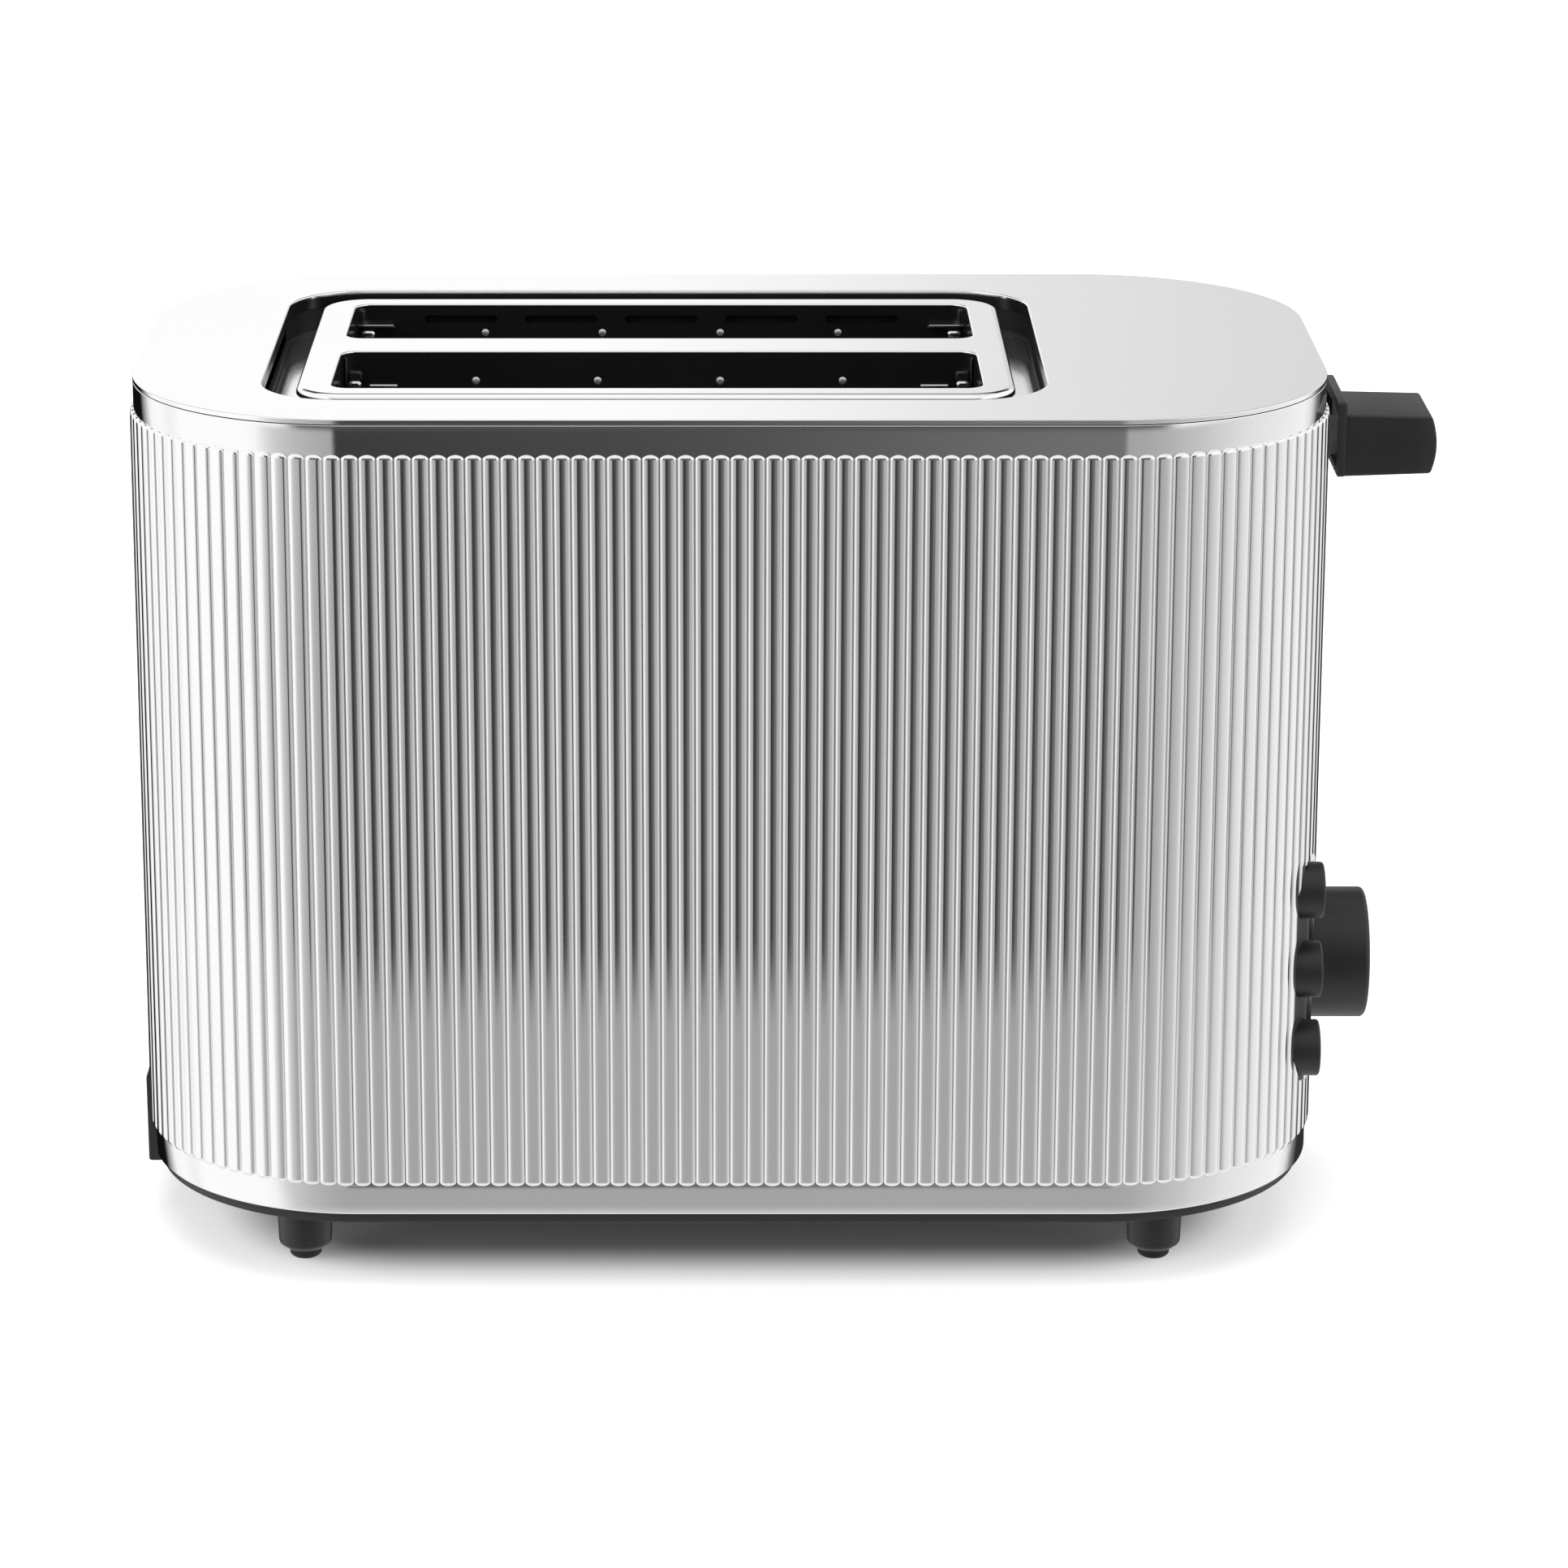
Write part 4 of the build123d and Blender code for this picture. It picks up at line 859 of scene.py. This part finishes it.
def slot_frame(finish, dark, painted_shade_black):
    """The pressed frame with rolled edges on a dark skirt, and a dark chute below each slot."""
    rim = [(o, FRAME_TOP - d) for o, d in rolled(1.5, 9)]
    rim += [(0.0, FRAME_TOP - 1.9), (-0.15, FRAME_TOP - 2.1)]
    rim += [(-1.0, FRAME_TOP - 2.1), (-1.2, FRAME_TOP - 1.0)]
    skirt = [(-1.3, FRAME_TOP - 1.6), (-1.3, WELL_FLOOR + 0.1), (-1.5, WELL_FLOOR)]
    skirt += [(-2.3, WELL_FLOOR), (-2.3, FRAME_TOP - 1.6)]
    make_piece("frame_skirt", *tube(frame_ring, skirt), dark, slot="dark_enamel")
    lip = [(-o, FRAME_TOP - d) for o, d in rolled(0.35, 6, 0.1)]
    lip += [(0.0, FRAME_TOP - 0.6), (0.9, FRAME_TOP - 0.6), (0.9, FRAME_TOP - 1.0)]
    edges = [[frame_ring(o, z) for o, z in rim]]
    edges += [[slot_ring(o, z, side) for o, z in lip] for side in (-1, 1)]
    make_piece(
        "slot_frame_pressed", *sheet(*edges), finish,
        slot="satin_steel", replaces=("slot_frame",), sharp=30,
    )
    walls = [(0.05, FRAME_TOP - 0.65), (0.05, CHUTE_Z + 0.2), (0.2, CHUTE_Z)]
    walls += [(0.8, CHUTE_Z), (0.8, FRAME_TOP - 0.65)]
    # Near-black sheets behind the chutes, seen through their vents where there is only shade: painted shade
    shade_sheet = [(2.0, FRAME_TOP - 2.5), (2.0, CHUTE_Z), (2.5, CHUTE_Z), (2.5, FRAME_TOP - 2.5)]
    for side, name in ((-1, "front"), (1, "rear")):
        # The chute walls take the near-black enamel, a painted dark reflection: the real walls are polished
        # steel that look this dark by reflecting the dark inside
        chute = make_piece(name + "_slot_chute", *tube(slot_ring, walls, side), dark, slot="dark_enamel")
        out = side * (SLOT_Y + SLOT_WIDTH / 2)
        through = sorted((out - side, out + 2 * side))
        vent_xs = [MIDDLE_X + SLOTS_X + (number - 2) * 24.3 for number in range(5)]
        cut(chute, [cutter_slot(x, 17.6, 2.0, 200.3, through) for x in vent_xs], 30)
        make_piece(name + "_slot_shade_sheet", *tube(slot_ring, shade_sheet, side), painted_shade_black, slot="dark_enamel")


# The Y of the back wall of the front slot and of the rear slot
FRONT_WALL = -SLOT_Y + SLOT_WIDTH / 2
REAR_WALL = SLOT_Y + SLOT_WIDTH / 2


def dimples(finish):
    """Small pressed domes along the rear wall of each chute, which catch the light."""
    dome = [(-0.3, 0.95), (-0.04, 0.9), (0.12, 0.75), (0.22, 0.5), (0.27, 0.25), (0.28, 0.02)]
    dome_z = 197.0
    points, faces = lathe(dome, 28, axis="z")
    for name, wall in (("front", FRONT_WALL), ("rear", REAR_WALL)):
        domes = []
        for x in (-59.2, -30.8, -2.2, 26.4):
            domes.append(([(MIDDLE_X + x + px, wall - pz, dome_z + py) for px, py, pz in points], faces))
        make_piece(name + "_chute_dimples", *joined(*domes), finish, slot="bright_sheet")


def bar(low, high, bevel):
    """A small bar along Y with bevelled edges and ends, in body X, Y and Z."""
    (x0, y0, z0), (x1, y1, z1) = low, high
    rings = []
    for y, inset in ((y0, bevel), (y0 + bevel, 0.0), (y1 - bevel, 0.0), (y1, bevel)):
        a, b = MIDDLE_X + x0 + inset, MIDDLE_X + x1 - inset
        c, d = z0 + inset, z1 - inset
        rings.append([
            (a + bevel, y, c), (b - bevel, y, c), (b, y, c + bevel), (b, y, d - bevel),
            (b - bevel, y, d), (a + bevel, y, d), (a, y, d - bevel), (a, y, c + bevel),
        ])
    return capped(rings)


def end_bars(rows):
    """Bars at both ends of the slots, from rows of distance from the middle, height, depth and wall."""
    bars = []
    for side in (-1, 1):
        for (near, far), (z0, z1), depth, wall in rows:
            x0, x1 = sorted((SLOTS_X + side * near, SLOTS_X + side * far))
            bevel = min(0.4, (z1 - z0) / 3, (x1 - x0) / 3, depth / 3)
            bars.append(bar((x0, wall - depth, z0), (x1, wall - 0.02, z1), bevel))
    return joined(*bars)


def slot_ends(bright, dark):
    """What shows of the guides at both ends of each slot, on the chutes' rear walls."""
    clips = [
        ((61.0, 67.6), (195.6, 196.2), 0.8, FRONT_WALL),
        ((69.4, 72.4), (195.3, 197.3), 2.4, FRONT_WALL),
        ((64.9, 73.4), (199.1, 199.4), 2.4, REAR_WALL),
        ((69.4, 72.6), (196.4, 197.9), 2.8, REAR_WALL),
    ]
    blocks = [
        ((69.2, 72.5), (197.2, 199.6), 1.8, FRONT_WALL),
        ((72.6, 73.6), (194.0, 203.0), 2.2, FRONT_WALL),
        ((64.5, 73.6), (198.2, 199.1), 2.2, REAR_WALL),
        ((71.8, 73.7), (199.4, 203.2), 1.8, REAR_WALL),
    ]
    make_piece("guide_end_clips", *end_bars(clips), bright, slot="bright_sheet")
    make_piece("guide_end_blocks", *end_bars(blocks), dark, slot="black_plastic")


# Knob and buttons


def domed(face, radius, fillet, dome, steps, centre):
    """The front of a turned drum: a rounded edge, then a low dome up to its small centre."""
    stations = []
    for step in range(steps + 1):
        turn = step / steps * pi / 2
        stations.append((face - dome - fillet * (1 - sin(turn)), radius - fillet * (1 - cos(turn))))
    for step in range(1, steps - 1):
        share = 1 - step / (steps - 1)
        stations.append((face - dome * share**2, (radius - fillet) * share))
    return stations + [(face, centre)]


def knob(finish):
    """The round knob: a straight drum with a soft rim and a slightly domed face."""
    low, high = low_high("browning_knob")
    radius = 31.4 / 2
    base = KNOB_END + 3.5
    stations = [(low[0], 3.0), (base, 3.0), (base, radius - 0.35)]
    stations += [(base + 0.1, radius - 0.1), (base + 0.35, radius)]
    stations += domed(high[0], radius, 1.3, 0.35, 8, 0.05)
    make_piece(
        "browning_knob_turned", *lathe(stations, 96, place=(0, 0, KNOB_Z)), finish,
        body=frame_body("browning_knob"), slot="black_plastic", replaces=("browning_knob",), sharp=40,
    )


def knob_bezel(finish):
    """The thin steel ring between the sleeve and the knob."""
    section = [(1.9, 5.0), (1.9, 14.9), (2.0, 15.1), (3.2, 15.1), (3.3, 15.0), (3.3, 5.0)]
    circles = turned(section, 96, "x", (KNOB_END, 0, KNOB_Z))
    make_piece("knob_bezel", *loft(circles, closed=True), finish, slot="satin_steel", sharp=35)


def buttons(finish):
    """The three push buttons, each with a soft rim and its stem."""
    for name in ("upper_button", "middle_button", "lower_button"):
        low, high = low_high(name)
        radius = (high[1] - low[1]) / 2 + 0.2
        y, z = (low[1] + high[1]) / 2, (low[2] + high[2]) / 2
        back = high[0] - 12.9
        stations = [(low[0], 2.0), (back, 2.0), (back, radius)]
        stations += domed(high[0], radius, 0.7, 0.12, 6, 0.03)
        make_piece(
            name + "_cap", *lathe(stations, 64, place=(0, y, z)), finish,
            body=frame_body(name), slot="black_plastic", replaces=(name,), sharp=40,
        )


# Lever, tray front, base and feet


def section_ring(x, half_top, half_low, low, high, radius, inset=0.0, crown=0.0, steps=6):
    """An upright section at an X: flat on top, crowned sides and round corners, moved in by an inset."""
    middle = (low + high) / 2
    outline = []
    corners = [(half_top, high, 0.0), (-half_top, high, 0.5), (-half_low, low, 1.0), (half_low, low, 1.5)]
    for number, (y, z, turn) in enumerate(corners):
        side, lift = (1 if y > 0 else -1), (1 if z > middle else -1)
        for step in range(steps + 1):
            angle = (turn + step / steps / 2) * pi
            outline.append((y - side * radius + radius * cos(angle), z - lift * radius + radius * sin(angle)))
        if number in (0, 2):
            continue
        next_y, next_z = corners[(number + 1) % 4][:2]
        from_z, to_z = z - lift * radius, next_z + lift * radius
        for step in range(1, 8):
            share = step / 8
            bulge = crown * 4 * share * (1 - share)
            outline.append((y + (next_y - y) * share + side * bulge, from_z * (1 - share) + to_z * share))
    shrink_y, shrink_z = 1 - inset / half_low, 1 - inset / ((high - low) / 2)
    return [(x, y * shrink_y, middle + (z - middle) * shrink_z) for y, z in outline]


def lever(finish):
    """The moulded lever: a flange with a soft edge and a grip with crowned sides and end, hollow behind."""
    low, high = low_high("lever_handle")
    near, tip = low[0], high[0]
    middle = (low[2] + high[2]) / 2 - 1.5
    edge = near + 2.0
    half, bottom, top = 14.9, 175.7, 193.6
    flange = []
    for x, inset in ((near, 0.2), (near + 0.2, 0.0), (edge - 0.5, 0.0), (edge - 0.15, 0.15), (edge, 0.5)):
        flange.append(section_ring(x, half, half, bottom, top, 0.7, inset))

    def grip_ring(x, inset=0.0, crowned=0.0):
        """A section of the tapered grip, moved in by an inset and crowned along X."""
        share = (x - edge) / (tip - edge)
        half_low, grip_low, grip_high = 14.6 - 0.6 * share, 175.8 + 0.6 * share, 190.1 - 0.5 * share
        line = section_ring(x, 12.9, half_low, grip_low, grip_high, 0.6, inset, 0.5)
        return [(x + crowned * (1 - ((z - middle) / 7.5) ** 2), y, z) for x, y, z in line]

    bulge = 1.5
    end = tip - bulge
    grip = [grip_ring(edge - 0.8), grip_ring(edge + 3), grip_ring(end - 4)]
    grip += [grip_ring(end - back, inset, bulge) for back, inset in ((0.55, 0.0), (0.2, 0.12), (0.05, 0.3))]
    grip += [grip_ring(end, inset, bulge) for inset in (0.6, 2.0, 3.5, 5.0, 6.3, 7.0)]
    body = frame_body("lever_handle")
    handle = make_piece("lever_flange", *capped(flange), finish, body=body, slot="black_plastic", sharp=35)
    cut(handle, [cutter_block((near - 1, -13.4, 177.4), (edge - 0.6, 13.4, 190.8))], 35)
    moulding = make_piece(
        "lever_grip", *capped(grip), finish,
        body=body, slot="black_plastic", replaces=("lever_handle",), sharp=35,
    )
    cut(moulding, [cutter_block((near - 1, -12.4, 178.0), (near + 8, 12.4, 188.6))], 35)


def tray_front(finish):
    """The crumb tray's front with a slanted top edge and soft corners."""
    low, high = low_high("crumb_tray_front")
    out, back, bottom = low[0], high[0], low[2]
    top = high[2] + 1.9
    profile = [
        (back, bottom), (out + 0.5, bottom), (out + 0.15, bottom + 0.15), (out, bottom + 0.5),
        (out - 0.15, top - 2.6), (out - 0.08, top - 2.1), (out + 0.12, top - 1.6), (out + 0.85, top - 0.25),
        (out + 1.1, top), (back, top),
    ]
    insets = [(0.0, 0.35), (0.1, 0.1), (0.35, 0.0)]
    stations = [(-TRAY_HALF + along, inset) for along, inset in insets]
    stations += [(TRAY_HALF - along, inset) for along, inset in reversed(insets)]
    rings = []
    for y, inset in stations:
        line = []
        for x, z in profile:
            inward = inset if x < back else 0.0
            down = inset if z > high[2] else -inset if z < bottom + 1 else 0.0
            line.append((x + inward, y, z - down))
        rings.append(line)
    make_piece(
        "tray_front_moulded", *capped(rings), finish, body=frame_body("crumb_tray_front"),
        slot="black_plastic", replaces=("crumb_tray_front",), sharp=35,
    )


def base_rim(finish):
    """The base's black rim under the sleeve, open where the tray's front sits."""
    section = [(-0.85, SHELL_Z + 0.1), (-0.85, 15.0), (-0.97, 14.7), (-1.25, 14.55)]
    section += [(-4.0, 14.55), (-4.0, SHELL_Z + 0.1)]
    rim = make_piece("base_rim", *tube(body_ring, section), finish, slot="black_plastic")
    half = TRAY_HALF + 0.4
    cut(rim, [cutter_block((TRAY_END - 4, -half, 10), (TRAY_END + 6, half, 20))])


def feet(finish, rubber):
    """The four tapered posts with bevelled ends, and their pads."""
    post = [(14.7, 6.5), (14.2, 6.5), (4.2, 6.2), (3.7, 6.1), (3.3, 5.8), (2.2, 4.3), (2.0, 4.0)]
    pad = [(2.3, 3.7), (0.9, 3.7), (0.6, 3.6), (0.3, 3.35), (0.0, 2.9)]
    places = [(MIDDLE_X + x, y, 0) for x in (-99, 99) for y in (-60, 60)]
    posts = [lathe(post, 48, "z", place) for place in places]
    pads = [lathe(pad, 40, "z", place) for place in places]
    make_piece(
        "foot_posts_tapered", *joined(*posts), finish,
        slot="black_plastic", replaces=("foot_posts",), sharp=35,
    )
    make_piece(
        "foot_pads_round", *joined(*pads), rubber, slot="pad_rubber", replaces=("foot_pads",), sharp=35
    )


finishes = materials()
camera()
floor()
world()
studio()
dress(finishes)
ribbed_sleeve(finishes["ribbed_steel"])
top_plate(finishes["satin_steel"], finishes["dark_enamel"])
well(finishes["well_steel"], finishes["black_plastic"], finishes["painted_shade_black"])
slot_frame(finishes["satin_steel"], finishes["dark_enamel"], finishes["painted_shade_black"])
dimples(finishes["stamped_spot"])
slot_ends(finishes["bright_sheet"], finishes["black_plastic"])
lever(finishes["black_plastic"])
tray_front(finishes["black_plastic"])
base_rim(finishes["black_plastic"])
feet(finishes["black_plastic"], finishes["pad_rubber"])
knob(finishes["black_plastic"])
knob_bezel(finishes["satin_steel"])
buttons(finishes["black_plastic"])
